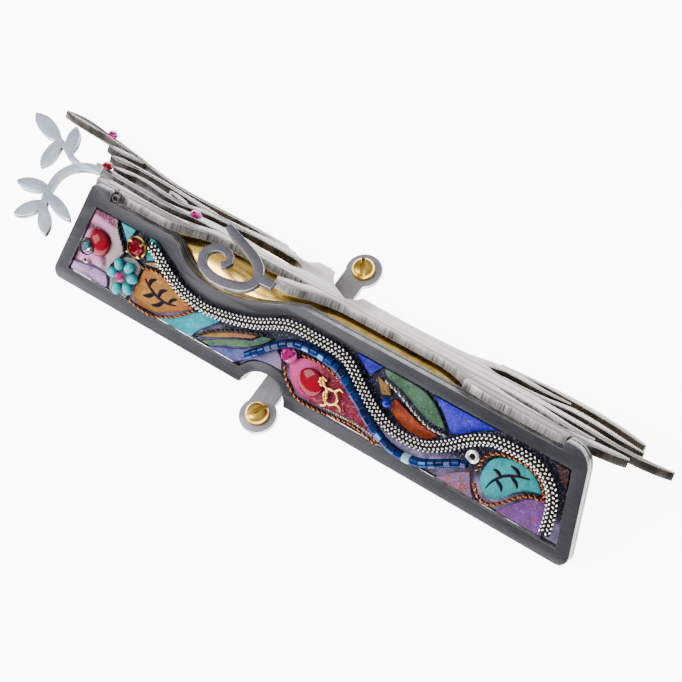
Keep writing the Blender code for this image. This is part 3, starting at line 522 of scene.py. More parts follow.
def panel_path(points, height, step):
    """A route over the panel from (x, d) points, d measured down from the ridge, as even steps in metres."""
    return [Vector((p.x, p.y, height)) * MM for p in flowing([(x, -d) for x, d in points], step)]


def frames(path):
    """Each point of a path with the directions along it and across it, level with the plate."""
    out = []
    for i, point in enumerate(path):
        along = (path[min(i + 1, len(path) - 1)] - path[max(i - 1, 0)]).normalized()
        out.append((point, along, Vector((-along.y, along.x, 0)).normalized()))
    return out


def around(count, shift=0.0):
    """Even angles round a circle."""
    return [2 * math.pi * (k + shift) / count for k in range(count)]


def oval(point, across, rise, wide, tall, count, shift=0.0):
    """Points round an oval that is wide one way and tall the other, in millimetres."""
    return [point + (across * wide * math.cos(a) + rise * tall * math.sin(a)) * MM
            for a in around(count, shift)]


def skin(bm, rings, closed=False):
    """Faces from each ring of vertices to the next, with the ends capped or joined to each other."""
    for low, high in zip(rings, rings[1:] + rings[:1] * closed):
        for k in range(max(len(low), len(high))):
            corners = (low[k % len(low)], low[(k + 1) % len(low)],
                       high[(k + 1) % len(high)], high[k % len(high)])
            bm.faces.new(list(dict.fromkeys(corners)))
    if not closed and len(rings[0]) > 2:
        bm.faces.new(rings[0][::-1])
        bm.faces.new(rings[-1])


def tube(bm, rings):
    """A closed skin over rings of points."""
    skin(bm, [[bm.verts.new(p) for p in ring] for ring in rings])


def turned(bm, profile, steps, lie=WALL, squash=1.0, closed=False):
    """Turns (radius, height) points in millimetres round the lie's z axis, from axis to axis."""
    skin(bm, [[bm.verts.new(lie @ (Vector((r * math.cos(a), r * squash * math.sin(a), z)) * MM))
               for a in around(steps if r > 1e-6 else 1)] for r, z in profile], closed)


def ring_bead(bm, section, steps, lie):
    """A ring turned from a closed section that stays off the axis."""
    turned(bm, section, steps, lie, closed=True)


def twisted_wire(node, path, radius, finish, slot):
    """Two strands, one darker than the other, wound round each other along a path."""
    bm = bmesh.new()
    step = (path[1] - path[0]).length
    pitch = 1.3 * MM
    thick = radius * 0.56
    halves = []
    for strand in (0, 1):
        rings = []
        for i, (point, _, across) in enumerate(frames(path)):
            a = 2 * math.pi * (i * step / pitch + strand / 2)
            centre = point + (across * math.cos(a) + OUT * math.sin(a)) * (radius - thick) * MM
            rings.append(oval(centre, across, OUT, thick, thick, 6))
        tube(bm, rings)
        halves.append(len(bm.faces))
    made = piece_from(bm, node + "_twist", finish, tint=lambda face: float(face.index >= halves[0]))
    settle(made, slot, node)


# ---- the finishes in use
steel_dark = plate_steel("darkened satin steel", (0.013, 0.0135, 0.017), (0.025, 0.026, 0.031),
    (0.05, 0.05, 0.052), (0.12, 0.12, 0.12), (0.26, 0.26, 0.27), 0.2, 0.36, (0.12, 1, 1))
# On the tree plate the pale wall stripes are partly a painted highlight where the walls face the light; the
# pair of dark wall tones and the last colour are painted shade.
steel_tree = plate_steel("satin steel", (0.085, 0.077, 0.064), (0.145, 0.133, 0.113), (0.07, 0.065, 0.06),
    (0.40, 0.385, 0.37), (0.50, 0.48, 0.46), 0.35, 0.36, (1, 0.15, 1), 0.6, ((0.012, 0.009, 0.007),
    (0.055, 0.044, 0.036)), (0.050, 0.046, 0.042))
steel_curl = plate_steel("bright satin steel", (0.25, 0.30, 0.39), (0.56, 0.64, 0.75),
    (0.05, 0.055, 0.06), (0.16, 0.17, 0.18), (0.60, 0.64, 0.68), 0.5, 0.36, (0.3, 1, 1))
steel_ornament = plate_steel("brushed grey steel", (0.070, 0.066, 0.082), (0.14, 0.132, 0.158),
    (0.03, 0.03, 0.03), (0.10, 0.10, 0.10), (0.34, 0.33, 0.35), 0.5, 0.38, (0.3, 1, 1))
steel_strap = plate_steel("strap steel", (0.20, 0.20, 0.225), (0.34, 0.34, 0.375), (0.12, 0.12, 0.12),
    (0.35, 0.35, 0.35), (0.6, 0.6, 0.6), 0.6, 0.36, (1, 0.2, 1))
brass = brass_finish("polished brass", (0.80, 0.54, 0.13), (0.34, 0.18, 0.025), 0.16, 0.8)
screw_brass = brass_finish("rubbed brass", (0.50, 0.31, 0.055), (0.13, 0.07, 0.01), 0.22, 0.9)
gilt = brass_finish("gilding", (0.60, 0.36, 0.10), (0.14, 0.06, 0.015), 0.18, 0.9)
parchment = parchment_finish()
ground = bed_finish()
# Each glass: its colour, then a darker colour that is painted shade, then a pale colour that is a painted
# highlight.
red_glass = glass("red glass", (0.15, 0.0006, 0.008), (0.03, 0.0, 0.0015), (0.42, 0.02, 0.04), 0.03)
pink_glass = glass("fuchsia glass", (0.30, 0.008, 0.13), (0.08, 0.001, 0.03), (0.60, 0.16, 0.38))
blue_glass = glass("deep blue glass", (0.001, 0.004, 0.16), (0.0, 0.0005, 0.03), (0.03, 0.06, 0.40))
navy_glass = glass("silver-lined navy glass", (0.0004, 0.014, 0.10), (0.0001, 0.0015, 0.010),
    (0.04, 0.32, 0.62), 0.07)
sky_glass = glass("frosted sky glass", (0.20, 0.34, 0.38), (0.08, 0.18, 0.24), (0.6, 0.7, 0.72), 0.12)
petal_glass = glass("turquoise glass", (0.004, 0.16, 0.19), (0.0005, 0.025, 0.04), (0.16, 0.40, 0.44),
    0.10)
eye_glass = glass("black glass", (0.004, 0.004, 0.005), (0.0, 0.0, 0.0), (0.02, 0.02, 0.02), 0.10)
pearl_glass = glass("white glass", (0.62, 0.61, 0.60), (0.36, 0.35, 0.34), (0.9, 0.9, 0.9), 0.15)
crystal = crystal_finish()
mesh_silver = metal_thread("woven silver", (0.85, 0.84, 0.81), (0.22, 0.21, 0.20), 0.22, 0.5)
chain_core = metal_thread("blackened weave", (0.012, 0.011, 0.010), (0.003, 0.003, 0.003), 0.5)
copper = metal_thread("copper wire", (0.42, 0.15, 0.05), (0.035, 0.006, 0.004))
black_wire = metal_thread("blackened wire", (0.07, 0.065, 0.065), (0.006, 0.006, 0.006), 0.3)
silver_wire = metal_thread("silver wire", (0.62, 0.61, 0.59), (0.08, 0.075, 0.07), 0.24)
ink = metal_thread("black enamel", (0.006, 0.006, 0.007), (0.002, 0.002, 0.002), 0.3)
clay = {
    "cell_marbled": arcs_finish(),
    "cell_lilac_strip": inlay("mauve striped clay", (0.10, 0.04, 0.11), (0.29, 0.17, 0.31),
        (0.03, 0.010, 0.04), 2.4, 0.8, (0.25, 1, 1)),
    "cell_turquoise_tip": inlay("turquoise glitter clay", (0.0, 0.16, 0.20), (0.01, 0.27, 0.33),
        (0.10, 0.34, 0.38), 2.0, 1.0),
    "cell_pearl_ground": inlay("pearl clay", (0.05, 0.055, 0.06), (0.14, 0.15, 0.16), (0.02, 0.09, 0.11),
        2.5, 1.2),
    "cell_turquoise_patch": inlay("turquoise clay", (0.003, 0.11, 0.13), (0.01, 0.19, 0.22),
        (0.03, 0.24, 0.25), 3.0, 0.8),
    "cell_gold_crescent": inlay("cream gold clay", (0.18, 0.10, 0.03), (0.30, 0.22, 0.11),
        (0.14, 0.07, 0.015), 2.0, 1.0),
    "cell_orange_leaf": inlay("amber marbled clay", (0.15, 0.075, 0.006), (0.21, 0.055, 0.010),
        (0.27, 0.16, 0.012), 4.5, 1.6, (0.5, 1, 1)),
    "cell_turquoise_long": inlay("turquoise pearl clay", (0.0, 0.12, 0.16), (0.004, 0.19, 0.23),
        (0.03, 0.26, 0.29), 3.0, 1.0, (0.6, 1, 1)),
    "cell_orange_band": inlay("rust and gold clay", (0.11, 0.065, 0.006), (0.21, 0.11, 0.012),
        (0.15, 0.04, 0.008), 4.0, 1.0, (0.5, 1, 1), fade=(-22.0, -18.0, (0.14, 0.045, 0.02))),
    "cell_green_band": inlay("moss pearl clay", (0.012, 0.045, 0.022), (0.042, 0.085, 0.045),
        (0.004, 0.02, 0.06), 3.0, 1.0, (0.5, 1, 1)),
    "cell_lilac_arch": inlay("lilac pearl clay", (0.016, 0.02, 0.11), (0.055, 0.055, 0.18),
        (0.010, 0.012, 0.12), 4.0, 1.2, (0.6, 1, 1), fade=(-14.0, -8.0, (0.13, 0.10, 0.18))),
    "cell_pink_leaf": inlay("raspberry clay", (0.27, 0.010, 0.09), (0.38, 0.030, 0.16),
        (0.26, 0.05, 0.11), 5.0, 1.8, fade=(-1.0, 5.0, (0.10, 0.002, 0.011))),
    "cell_blue_peak": inlay("royal blue clay", (0.004, 0.002, 0.13), (0.014, 0.008, 0.24),
        (0.004, 0.001, 0.05), 2.5, 0.8),
    "cell_amber_bit": inlay("tawny clay", (0.09, 0.045, 0.012), (0.16, 0.085, 0.02), (0.04, 0.015, 0.005),
        1.5, 0.8),
    "cell_olive_leaf": inlay("sage pearl clay", (0.012, 0.042, 0.023), (0.038, 0.082, 0.050),
        (0.04, 0.07, 0.014), 3.5, 1.0),
    "cell_blue_wedge": inlay("deep blue clay", (0.004, 0.001, 0.16), (0.012, 0.006, 0.27),
        (0.03, 0.02, 0.30), 2.5, 0.8),
    "cell_orange_sliver": inlay("ember clay", (0.06, 0.003, 0.001), (0.17, 0.022, 0.001),
        (0.015, 0.005, 0.002), 3.0, 1.4, (0.6, 1, 1)),
    "cell_speckled": inlay("lilac speckled clay", (0.13, 0.03, 0.010), (0.09, 0.06, 0.16),
        (0.19, 0.025, 0.004), 1.6, 0.4, glitter=0.3),
    "cell_turquoise_disc": inlay("turquoise disc clay", (0.002, 0.105, 0.12), (0.008, 0.17, 0.185),
        (0.004, 0.135, 0.15), 4.0, 0.8),
    "cell_purple": inlay("violet pearl clay", (0.035, 0.014, 0.065), (0.085, 0.022, 0.135),
        (0.13, 0.025, 0.012), 4.0, 1.0),
    "cell_maroon": inlay("maroon clay", (0.006, 0.002, 0.002), (0.022, 0.008, 0.008),
        (0.05, 0.014, 0.010), 2.0, 0.8),
}


# ---- plates
sheet_piece("panel_frame", PANEL, steel_dark, "darkened_steel", 0.14)
sheet_piece("panel_back_plate", PANEL, steel_dark, "darkened_steel", 0.10)
sheet_piece("collage_bed", PANEL, ground, "bed_clay", 0.05)
sheet_piece("tree_plate", TREE, steel_tree, "satin_steel", 0.10, bend=tip_lift)
sheet_piece("curled_branch", WALL, steel_curl, "polished_steel", 0.14)
sheet_piece("scroll_ornament", WALL, steel_ornament, "brushed_steel", 0.14)
sheet_piece("mounting_strap", WALL, steel_strap, "satin_steel", 0.14)

INLAY_SLOTS = {row["node"]: row["material_slot"] for row in frame["record"]["subparts"]}
for node, finish in clay.items():
    sheet_piece(node, PANEL, finish, INLAY_SLOTS[node], 0.22, 0.1)

# ---- chain, beads and wires
CHAIN = [(-45.6, 6.6), (-43.2, 7.4), (-40.6, 9.2), (-37.4, 11.2), (-33.0, 12.9), (-27.0, 13.6), (-20.0, 12.4),
         (-14.0, 10.5), (-9.6, 8.3), (-5.6, 6.9), (0.0, 6.7), (6.0, 6.8), (9.6, 8.0), (13.6, 11.2),
         (18.0, 14.4), (22.6, 16.5), (27.0, 17.1), (31.6, 16.4), (36.0, 13.8), (40.2, 10.2), (44.6, 7.7),
         (50.0, 7.0), (54.6, 7.3), (58.0, 8.8), (60.4, 11.4), (61.6, 14.6), (62.1, 18.2), (62.2, 20.6)]
BEADS = [(-14.2, 18.6), (-11.0, 15.6), (-7.4, 12.4), (-4.0, 10.3), (-0.5, 9.6), (4.0, 9.7), (8.0, 10.6),
         (12.0, 13.1), (16.0, 16.0), (20.0, 18.7), (24.0, 20.4), (28.0, 20.9), (32.0, 20.3), (36.0, 18.2),
         (39.6, 16.0), (42.0, 15.2)]
WIRES = {
    "wire_marble_edge": (black_wire, "black_wire", 0.36, [(-55.2, 5.8), (-53.8, 8.2), (-52.4, 10.0),
        (-51.2, 12.2)]),
    "wire_orange_leaf": (copper, "copper_wire", 0.40, [(-46.2, 12.5), (-43.4, 11.9), (-40.6, 11.8),
        (-38.0, 12.6), (-34.4, 14.1), (-30.4, 15.4)]),
    "wire_orange_leaf_low": (copper, "copper_wire", 0.40, [(-30.0, 15.6), (-32.6, 17.9), (-35.8, 20.1),
        (-40.0, 21.9), (-44.2, 21.8), (-47.0, 21.2)]),
    "wire_beaded_band": (black_wire, "black_wire", 0.42, [(-28.3, 21.6), (-25.0, 18.2), (-20.2, 15.5),
        (-15.0, 13.4), (-11.4, 12.0)]),
    "wire_pink_leaf": (copper, "copper_wire", 0.40, [(-1.6, 11.9), (3.0, 11.5), (7.6, 12.4), (12.0, 14.5),
        (16.4, 17.8), (20.4, 20.9), (21.2, 21.9), (15.6, 20.8), (11.0, 21.1), (6.0, 21.8), (1.6, 21.9),
        (-1.2, 20.9), (-3.7, 18.4), (-4.9, 15.8)]),
    "wire_olive_edge": (silver_wire, "silver_wire", 0.36, [(18.4, 7.6), (22.4, 8.8), (27.0, 10.9),
        (31.0, 12.2), (35.4, 12.1)]),
    "wire_turquoise_disc": (copper, "copper_wire", 0.44, [(44.0, 15.6), (44.8, 11.6), (47.0, 9.6),
        (50.4, 8.9), (54.2, 9.0), (57.4, 10.6), (59.4, 13.6), (58.6, 14.1), (55.8, 14.9), (53.4, 17.0),
        (51.2, 19.4), (48.8, 21.0), (46.4, 20.6), (44.6, 18.4)]),
}


# along a stitch in millimetres, and how full it is there
LOZENGE = [(-0.33, 0.25), (-0.1815, 0.85), (0.0, 1.0), (0.1815, 0.85), (0.33, 0.25)]


def weave_chain():
    """A flat knitted chain: a dark core with slanted silver stitches in staggered rows on it."""
    wide, tall, inset = 1.35, 0.62, 0.12
    route = frames(panel_path(CHAIN, 0.55, 0.50))
    bm = bmesh.new()
    tube(bm, [oval(point, across, OUT, wide - inset, tall - inset, 10, 0.5) for point, _, across in route])
    settle(piece_from(bm, "chain_core", chain_core), "silver_mesh")
    bm = bmesh.new()
    for row, lean in enumerate((-60.0, -21.0, 21.0, 60.0)):
        a = math.radians(90 + lean)
        tilt = math.radians(40 if row % 2 else -40)
        for i in range(1 + row % 2, len(route) - 1, 2):
            point, along, across = route[i]
            normal = (across * math.cos(a) / wide + OUT * math.sin(a) / tall).normalized()
            side = normal.cross(along).normalized()
            length = along * math.cos(tilt) + side * math.sin(tilt)
            breadth = side * math.cos(tilt) - along * math.sin(tilt)
            centre = point + (across * math.cos(a) * wide + OUT * math.sin(a) * tall) * 0.93 * MM
            tube(bm, [oval(centre + length * share * MM, breadth, normal, 0.21 * swell, 0.24 * swell, 6)
                      for share, swell in LOZENGE])
    settle(piece_from(bm, "chain_stitches", mesh_silver, PANEL, 70), "silver_mesh", "mesh_chain")


def string_beads():
    """Bugle beads end to end on their thread, with one frosted bead among the navy ones."""
    route = frames(panel_path(BEADS, 0.9, 0.1))
    draw = random.Random(5)
    navy, frosted = bmesh.new(), bmesh.new()
    start = 0
    while start + 14 < len(route):
        end = min(start + 18 + draw.randrange(4), len(route) - 1)
        a, b = route[start][0], route[end][0]
        radius = 0.92 + 0.22 * math.sin(math.pi * start / len(route)) + 0.03 * draw.random()
        pale = abs(route[(start + end) // 2][0].x / MM - 28.2) < 1.0
        along = (b - a).normalized()
        lie = Matrix.Translation((a + b) / 2) @ along.to_track_quat("Z", "Y").to_matrix().to_4x4()
        half = (b - a).length / MM / 2 - 0.05
        hole = radius * 0.45
        section = [(hole, -half), (radius - 0.15, -half), (radius, -half + 0.18), (radius, half - 0.18),
                   (radius - 0.15, half), (hole, half)]
        ring_bead(frosted if pale else navy, section, 12, lie)
        start = end

    def painted_glints(face):
        """Each face takes a random share of painted light, and a few of the faces on top a painted highlight.
        """
        return draw.random() * 0.45 + (0.55 if face.normal.z > 0.85 and draw.random() < 0.45 else 0.02)

    settle(piece_from(navy, "bugle_beads", navy_glass, PANEL, 30, painted_glints), "blue_glass", "bugle_bead_string")
    settle(piece_from(frosted, "frosted_bead", sky_glass, PANEL, 30, painted_glints), "blue_glass")


weave_chain()
string_beads()
for node, (finish, slot, radius, points) in WIRES.items():
    twisted_wire(node, panel_path(points, 0.28, 0.12), radius, finish, slot)


# ---- stones
def cut_gem(name, node, lie, radius, high, finish, slot, seed, sides=8, table=0.5):
    """A round stone with a table and two rows of facets, each facet painted with its own random share of
    light.
    """
    bm = bmesh.new()
    foot = spot(node, lie)
    draw = random.Random(seed)
    rows = ((0.86, 0.0, 0.0), (1.0, 0.32, 0.0), (0.80, 0.68, 0.5), (table, 1.0, 0.0))
    rings = [[bm.verts.new(foot + Vector((radius * share * math.cos(a), radius * share * math.sin(a),
                                          high * level)) * MM) for a in around(sides, shift)]
             for share, level, shift in rows]
    girdle, belt, crown, top = rings
    for k in range(sides):
        n = (k + 1) % sides
        bm.faces.new((girdle[k], girdle[n], belt[n], belt[k]))
        bm.faces.new((belt[k], belt[n], crown[k]))
        bm.faces.new((crown[k], belt[n], crown[n]))
        bm.faces.new((crown[k], crown[n], top[n]))
        bm.faces.new((crown[k], top[n], top[k]))
    bm.faces.new(girdle[::-1])
    bm.faces.new(top)
    settle(piece_from(bm, name, finish, lie, 1.0, lambda face: draw.random()), slot, node)


def smooth_stone(name, node, lie, profile, finish, slot, steps=40):
    """A polished stone, painted lighter towards its top: a painted highlight."""
    bm = bmesh.new()
    foot = spot(node, lie)
    turned(bm, profile, steps, Matrix.Translation(foot))
    tint = painted_top_light(foot.z, profile[-1][1] / 0.8, 0.8)
    return settle(piece_from(bm, name, finish, lie, 60, tint), slot, node)


def carve(stone, centre, radius):
    """Sinks a round pocket for a smaller stone."""
    bm = bmesh.new()
    bmesh.ops.create_cone(bm, cap_ends=True, segments=32, radius1=radius * MM, radius2=radius * MM,
                          depth=0.02, matrix=Matrix.Translation(centre + OUT * 0.0101))
    take_away(stone, piece_from(bm, "pocket", stone.data.materials[0], smooth=35))


def take_away(piece, tool):
    """Cuts the tool's shape out of the piece for good."""
    cut = piece.modifiers.new("cut", "BOOLEAN")
    cut.operation = "DIFFERENCE"
    cut.object = tool
    cut.solver = "EXACT"
    graph = bpy.context.evaluated_depsgraph_get()
    mesh = bpy.data.meshes.new_from_object(piece.evaluated_get(graph))
    piece.modifiers.clear()
    piece.data = mesh
    bpy.data.objects.remove(tool)


def dome(radius, high, steps=9):
    """Profile of a rounded stone with a flat back."""
    return [(0, 0), (radius * 0.97, 0)] + [(radius * math.cos(a), 0.15 + (high - 0.15) * math.sin(a))
            for a in (math.radians(90 * k / steps) for k in range(steps))] + [(0, high)]


cabochon = smooth_stone("cabochon_dome", "red_cabochon", PANEL, dome(3.2, 2.0), red_glass, "red_glass")
carve(cabochon, spot("crystal_rhinestone", PANEL), 2.05)
cut_gem("crystal_cut", "crystal_rhinestone", PANEL, 1.9, 2.4, crystal, "clear_crystal", 4)
cut_gem("red_stone_cut", "red_rhinestone", PANEL, 1.9, 1.5, red_glass, "red_glass", 7, 10)
cut_gem("flower_stone_cut", "flower_crystal", PANEL, 1.2, 1.0, pink_glass, "pink_glass", 9)
cut_gem("tree_stone_1", "tree_stone_pink", TREE, 1.5, 1.3, pink_glass, "pink_glass", 2)
cut_gem("tree_stone_2", "tree_stone_red", TREE, 1.5, 1.3, red_glass, "red_glass", 3)
cut_gem("tree_stone_3", "tree_stone_pink_outer", TREE, 1.4, 1.3, pink_glass, "pink_glass", 6)
cut_gem("fuchsia_stone", "fuchsia_bead", PANEL, 2.0, 2.2, pink_glass, "pink_glass", 8, 9, 0.45)
smooth_stone("oval_stone", "red_oval_stone", PANEL, dome(3.2, 1.0), red_glass, "red_glass")
drop = [(0, 0), (0.7, 0.1), (1.1, 0.8), (0.95, 1.35), (0.5, 1.75), (0, 1.8)]
smooth_stone("blue_round_bead", "blue_bead", PANEL, drop, blue_glass, "blue_glass", 20)


def prong_setting():
    """A dark rim on the crystal, and a gilt cup with four prongs that bend over its stone."""
    bm = bmesh.new()
    ring_bead(bm, [(1.85, 1.5), (2.05, 1.5), (2.08, 2.0), (1.95, 2.25), (1.8, 2.0)], 28,
             Matrix.Translation(spot("crystal_rhinestone", PANEL)))
    settle(piece_from(bm, "crystal_rim", black_wire, PANEL, 50), "silver_wire")
    bm = bmesh.new()
    foot = spot("prong_cup", PANEL)
    here = Matrix.Translation(foot)
    ring_bead(bm, [(1.6, 0.0), (2.35, 0.0), (2.6, 0.5), (2.6, 1.0), (2.3, 1.2), (2.05, 0.5)], 28, here)
    for k in range(4):
        a = math.radians(45 + 90 * k)
        out = Vector((math.cos(a), math.sin(a), 0))
        side = Vector((-out.y, out.x, 0))
        tube(bm, [oval(foot + (out * reach + OUT * rise) * MM, side, out + OUT, 0.32, 0.2, 6)
                  for reach, rise in ((2.5, 0.5), (2.62, 1.3), (2.3, 1.9), (1.7, 2.05))])
    settle(piece_from(bm, "prong_setting", gilt, PANEL, 50), "gilt_metal", "prong_cup")


def glass_flower():
    """Six petal beads round a dark eye."""
    bm = bmesh.new()
    foot = spot("flower_petals", PANEL)
    petals = ((-1.5, 2.45), (1.3, 2.75), (-2.7, -0.1), (2.75, 0.75), (2.3, -1.95), (-0.5, -3.15))
    petal = [(0, 0), (1.25, 0.05), (1.62, 0.55), (1.5, 1.0), (1.0, 1.35), (0.4, 1.48), (0, 1.5)]
    for x, y in petals:
        middle = Matrix.Translation(foot + Vector((x, y, 0)) * MM)
        turned(bm, petal, 16, middle @ Matrix.Rotation(math.atan2(y, x), 4, "Z"), 0.78)
    # The petals are painted lighter towards their tops, a painted highlight.
    flower = piece_from(bm, "flower_beads", petal_glass, tint=painted_top_light(foot.z, 1.6, 0.92))
    settle(flower, "turquoise_glass", "flower_petals")


def bead(name, x, d, radius, high, finish, slot, lift=0.0):
    """A small round bead on the panel."""
    bm = bmesh.new()
    level = heights("collage_bed", PANEL)[1] + lift * MM
    turned(bm, dome(radius, high, 6), 20, Matrix.Translation((x * MM, -d * MM, level)))
    # The bead is painted lighter towards its top, a painted highlight.
    settle(piece_from(bm, name, finish, tint=painted_top_light(level, high)), slot)


def leaf_sprigs():
    """Black enamel sprigs on the amber leaf and on the turquoise drop, as flat brush strokes."""
    sprigs = {
        "cell_orange_leaf": [
            (0.55, [(-44.6, 14.9), (-42.6, 16.4), (-40.2, 17.4), (-37.6, 17.7), (-34.8, 17.0)]),
            (0.75, [(-43.1, 16.0), (-42.9, 14.6), (-41.6, 13.7)]),
            (0.75, [(-41.2, 17.0), (-42.6, 18.3), (-44.2, 18.8)]),
            (0.75, [(-40.0, 17.4), (-39.7, 15.8), (-38.2, 14.7)]),
            (0.75, [(-38.4, 17.7), (-39.6, 19.2), (-41.3, 19.9)]),
            (0.65, [(-37.0, 17.6), (-36.4, 16.3), (-35.0, 15.5)])],
        "cell_turquoise_disc": [
            (0.50, [(55.0, 11.6), (52.2, 12.4), (49.6, 13.9), (47.8, 16.2), (47.0, 18.4)]),
            (0.65, [(52.8, 12.2), (51.6, 11.2), (50.0, 11.0)]),
            (0.65, [(51.0, 13.0), (52.6, 13.9), (53.2, 15.0)]),
            (0.65, [(49.2, 14.3), (47.8, 13.6), (46.9, 13.8)]),
            (0.65, [(48.4, 15.4), (49.9, 16.3), (50.4, 17.4)])]}
    bm = bmesh.new()
    for node, wide, points in [(node, *stroke) for node, strokes in sprigs.items() for stroke in strokes]:
        route = frames(panel_path(points, heights(node, PANEL)[1] / MM + 0.10, 0.2))
        rings = []
        for i, (point, _, across) in enumerate(route):
            share = 0.12 + 0.88 * i / (len(route) - 1)
            half = wide * 0.72 * (0.25 + 0.75 * math.sin(math.pi * min(1.0, share)) ** 0.8)
            rings.append(oval(point, across, OUT, half, 0.09, 8))
        tube(bm, rings)
    settle(piece_from(bm, "enamel_sprigs", ink), "black_wire")


def glitter_rows():
    """Rows of seed beads by the raspberry leaf and the chain, and a silver thread along the lower edge that
    stands in for the bright line of light on the window's lower wall, a painted highlight.
    """
    level = heights("collage_bed", PANEL)[1] / MM
    draw = random.Random(11)
    gold, pale = bmesh.new(), bmesh.new()
    for points, pitch in (([(7.0, 20.9), (11.0, 20.7), (15.0, 20.6), (19.0, 20.8)], 0.62),
                          ([(-24.0, 13.6), (-20.0, 12.9), (-16.0, 11.9), (-12.0, 10.8)], 0.55)):
        for point in panel_path(points, level + 0.75, pitch):
            target = gold if draw.random() < 0.5 else pale
            turned(target, [(0, -0.26), (0.18, -0.2), (0.26, 0.0), (0.18, 0.2), (0, 0.26)], 8,
                   Matrix.Translation(point))
    # A silver thread along the window's lower edge: a painted highlight where the lower wall catches the
    # light.
    edge = bmesh.new()
    for start, end in ((-64.0, -17.5), (4.5, 61.8)):
        path = panel_path([(start, 22.35), ((start + end) / 2, 22.35), (end, 22.35)], level + 0.5, 1.5)
        tube(edge, [oval(point, Vector((0, 1, 0)), OUT, 0.22, 0.22, 6) for point in path])
    settle(piece_from(edge, "edge_highlight_thread", silver_wire), "silver_wire")
    settle(piece_from(gold, "gilt_seed_beads", gilt), "gilt_metal")
    settle(piece_from(pale, "silver_seed_beads", silver_wire), "silver_wire")


def small_ring(name, node, middle, wide, tall, sides, finish, slot):
    """A ring of this middle radius, its section an oval of this width and height."""
    bm = bmesh.new()
    section = [(middle + wide * math.cos(a), tall + tall * math.sin(a)) for a in around(sides)]
    ring_bead(bm, section, 24, Matrix.Translation(spot(node, PANEL)))
    settle(piece_from(bm, name, finish), slot, node)


def gilt_charm():
    """A gilt rosette with a looped stem and two small leaves."""
    loop = [(8.0 + 1.7 * math.cos(a), -17.3 + 1.7 * math.sin(a))
            for a in (math.radians(140 + 30 * k) for k in range(13))]
    strokes = [[(5.3, -14.9), (6.0, -15.6)] + loop + [(7.4, -19.4), (6.3, -20.1)],
               [(8.6, -15.6), (9.5, -14.6), (10.6, -14.9)], [(9.6, -18.1), (10.9, -18.5), (11.4, -19.6)]]
    bm = bmesh.new()
    for stroke in strokes:
        route = frames([Vector((p.x, p.y, 0.55)) * MM for p in flowing(stroke, 0.2)])
        rings = []
        for i, (point, _, across) in enumerate(route):
            swell = 0.30 + 0.10 * max(0.0, math.sin(i * 0.9)) ** 3
            rings.append(oval(point, across, OUT, swell, swell, 7))
        tube(bm, rings)
    for place in [Vector((5.2, -14.9, 0.55)) * MM] + oval(Vector((5.2, -14.9, 0.55)) * MM, Vector((1, 0, 0)),
                                                          Vector((0, 1, 0)), 0.85, 0.85, 7)[1:]:
        turned(bm, [(0, -0.4), (0.3, -0.3), (0.44, 0.0), (0.3, 0.3), (0, 0.4)], 8, Matrix.Translation(place))
    settle(piece_from(bm, "gilt_stem", gilt), "gilt_metal", "gold_charm")


prong_setting()
glass_flower()
small_ring("ring_bead", "silver_ring", 1.12, 0.5, 0.5, 8, silver_wire, "silver_wire")
small_ring("hanging_loop", "wire_loop", 0.75, 0.2, 0.3, 6, black_wire, "black_wire")
gilt_charm()
leaf_sprigs()
glitter_rows()
bead("flower_eye", -50.2, 16.9, 0.9, 0.9, eye_glass, "pink_glass")
bead("white_bead_chain", 29.0, 16.9, 0.85, 1.5, pearl_glass, "silver_wire", 0.5)
bead("white_bead_wedge", 41.5, 9.7, 0.75, 1.5, pearl_glass, "silver_wire", 0.4)
bead("dot_pearl", -61.4, 18.3, 0.85, 0.5, pearl_glass, "silver_wire", 0.5)
bead("dot_black", -61.4, 18.3, 0.5, 0.75, eye_glass, "black_wire", 0.55)


# ---- tube, plug, scroll and screws
ALONG = Matrix.Rotation(math.pi / 2, 4, "Y")


def tube_lie(node):
    """A lie whose z runs along the case, at the start of a CAD node on the tube's axis."""
    low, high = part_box(node)
    return Matrix.Translation((low[0], (low[1] + high[1]) / 2, (low[2] + high[2]) / 2)) @ ALONG


def brass_parts():
    """The tube, its fixed cap and the plug that pulls out of it."""
    low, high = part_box("brass_tube")
    length = (high[0] - low[0]) / MM
    radius = (high[1] - low[1]) / 2 / MM
    bore = radius - 0.6
    inner = bore - 0.3
    bm = bmesh.new()
    section = [(bore, 0.1), (bore + 0.15, 0), (radius - 0.15, 0), (radius, 0.15), (radius, length - 0.15),
               (radius - 0.15, length), (bore + 0.15, length), (bore, length - 0.1)]
    ring_bead(bm, section, 72, tube_lie("brass_tube"))
    settle(piece_from(bm, "brass_barrel", brass, WALL, 40), "brass", "brass_tube")
    bm = bmesh.new()
    turned(bm, [(0, 0), (radius - 0.3, 0), (radius, 0.3), (radius, 1.0), (inner, 1.0), (inner, 3.8),
                (inner - 0.2, 4.0), (0, 4.0)], 72, tube_lie("tube_end_cap"))
    settle(piece_from(bm, "brass_cap", brass, WALL, 40), "brass", "tube_end_cap")
    bm = bmesh.new()
    low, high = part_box("tube_plug")
    whole = (high[0] - low[0]) / MM
    head = whole - 1.6
    grip = [(0, 0), (inner - 0.25, 0), (inner, 0.25), (inner, 1.6), (inner - 0.25, 1.9), (inner, 2.2)]
    knob = [(inner, head), (radius, head), (radius, head + 0.4), (radius - 0.2, head + 0.6),
            (radius, head + 0.8), (radius, whole - 0.4), (radius - 0.4, whole), (1.4, whole),
            (1.1, whole - 0.35), (0, whole - 0.35)]
    turned(bm, grip + knob, 72, tube_lie("tube_plug"))
    settle(piece_from(bm, "brass_plug", brass, WALL, 40), "brass", "tube_plug", body="plug")


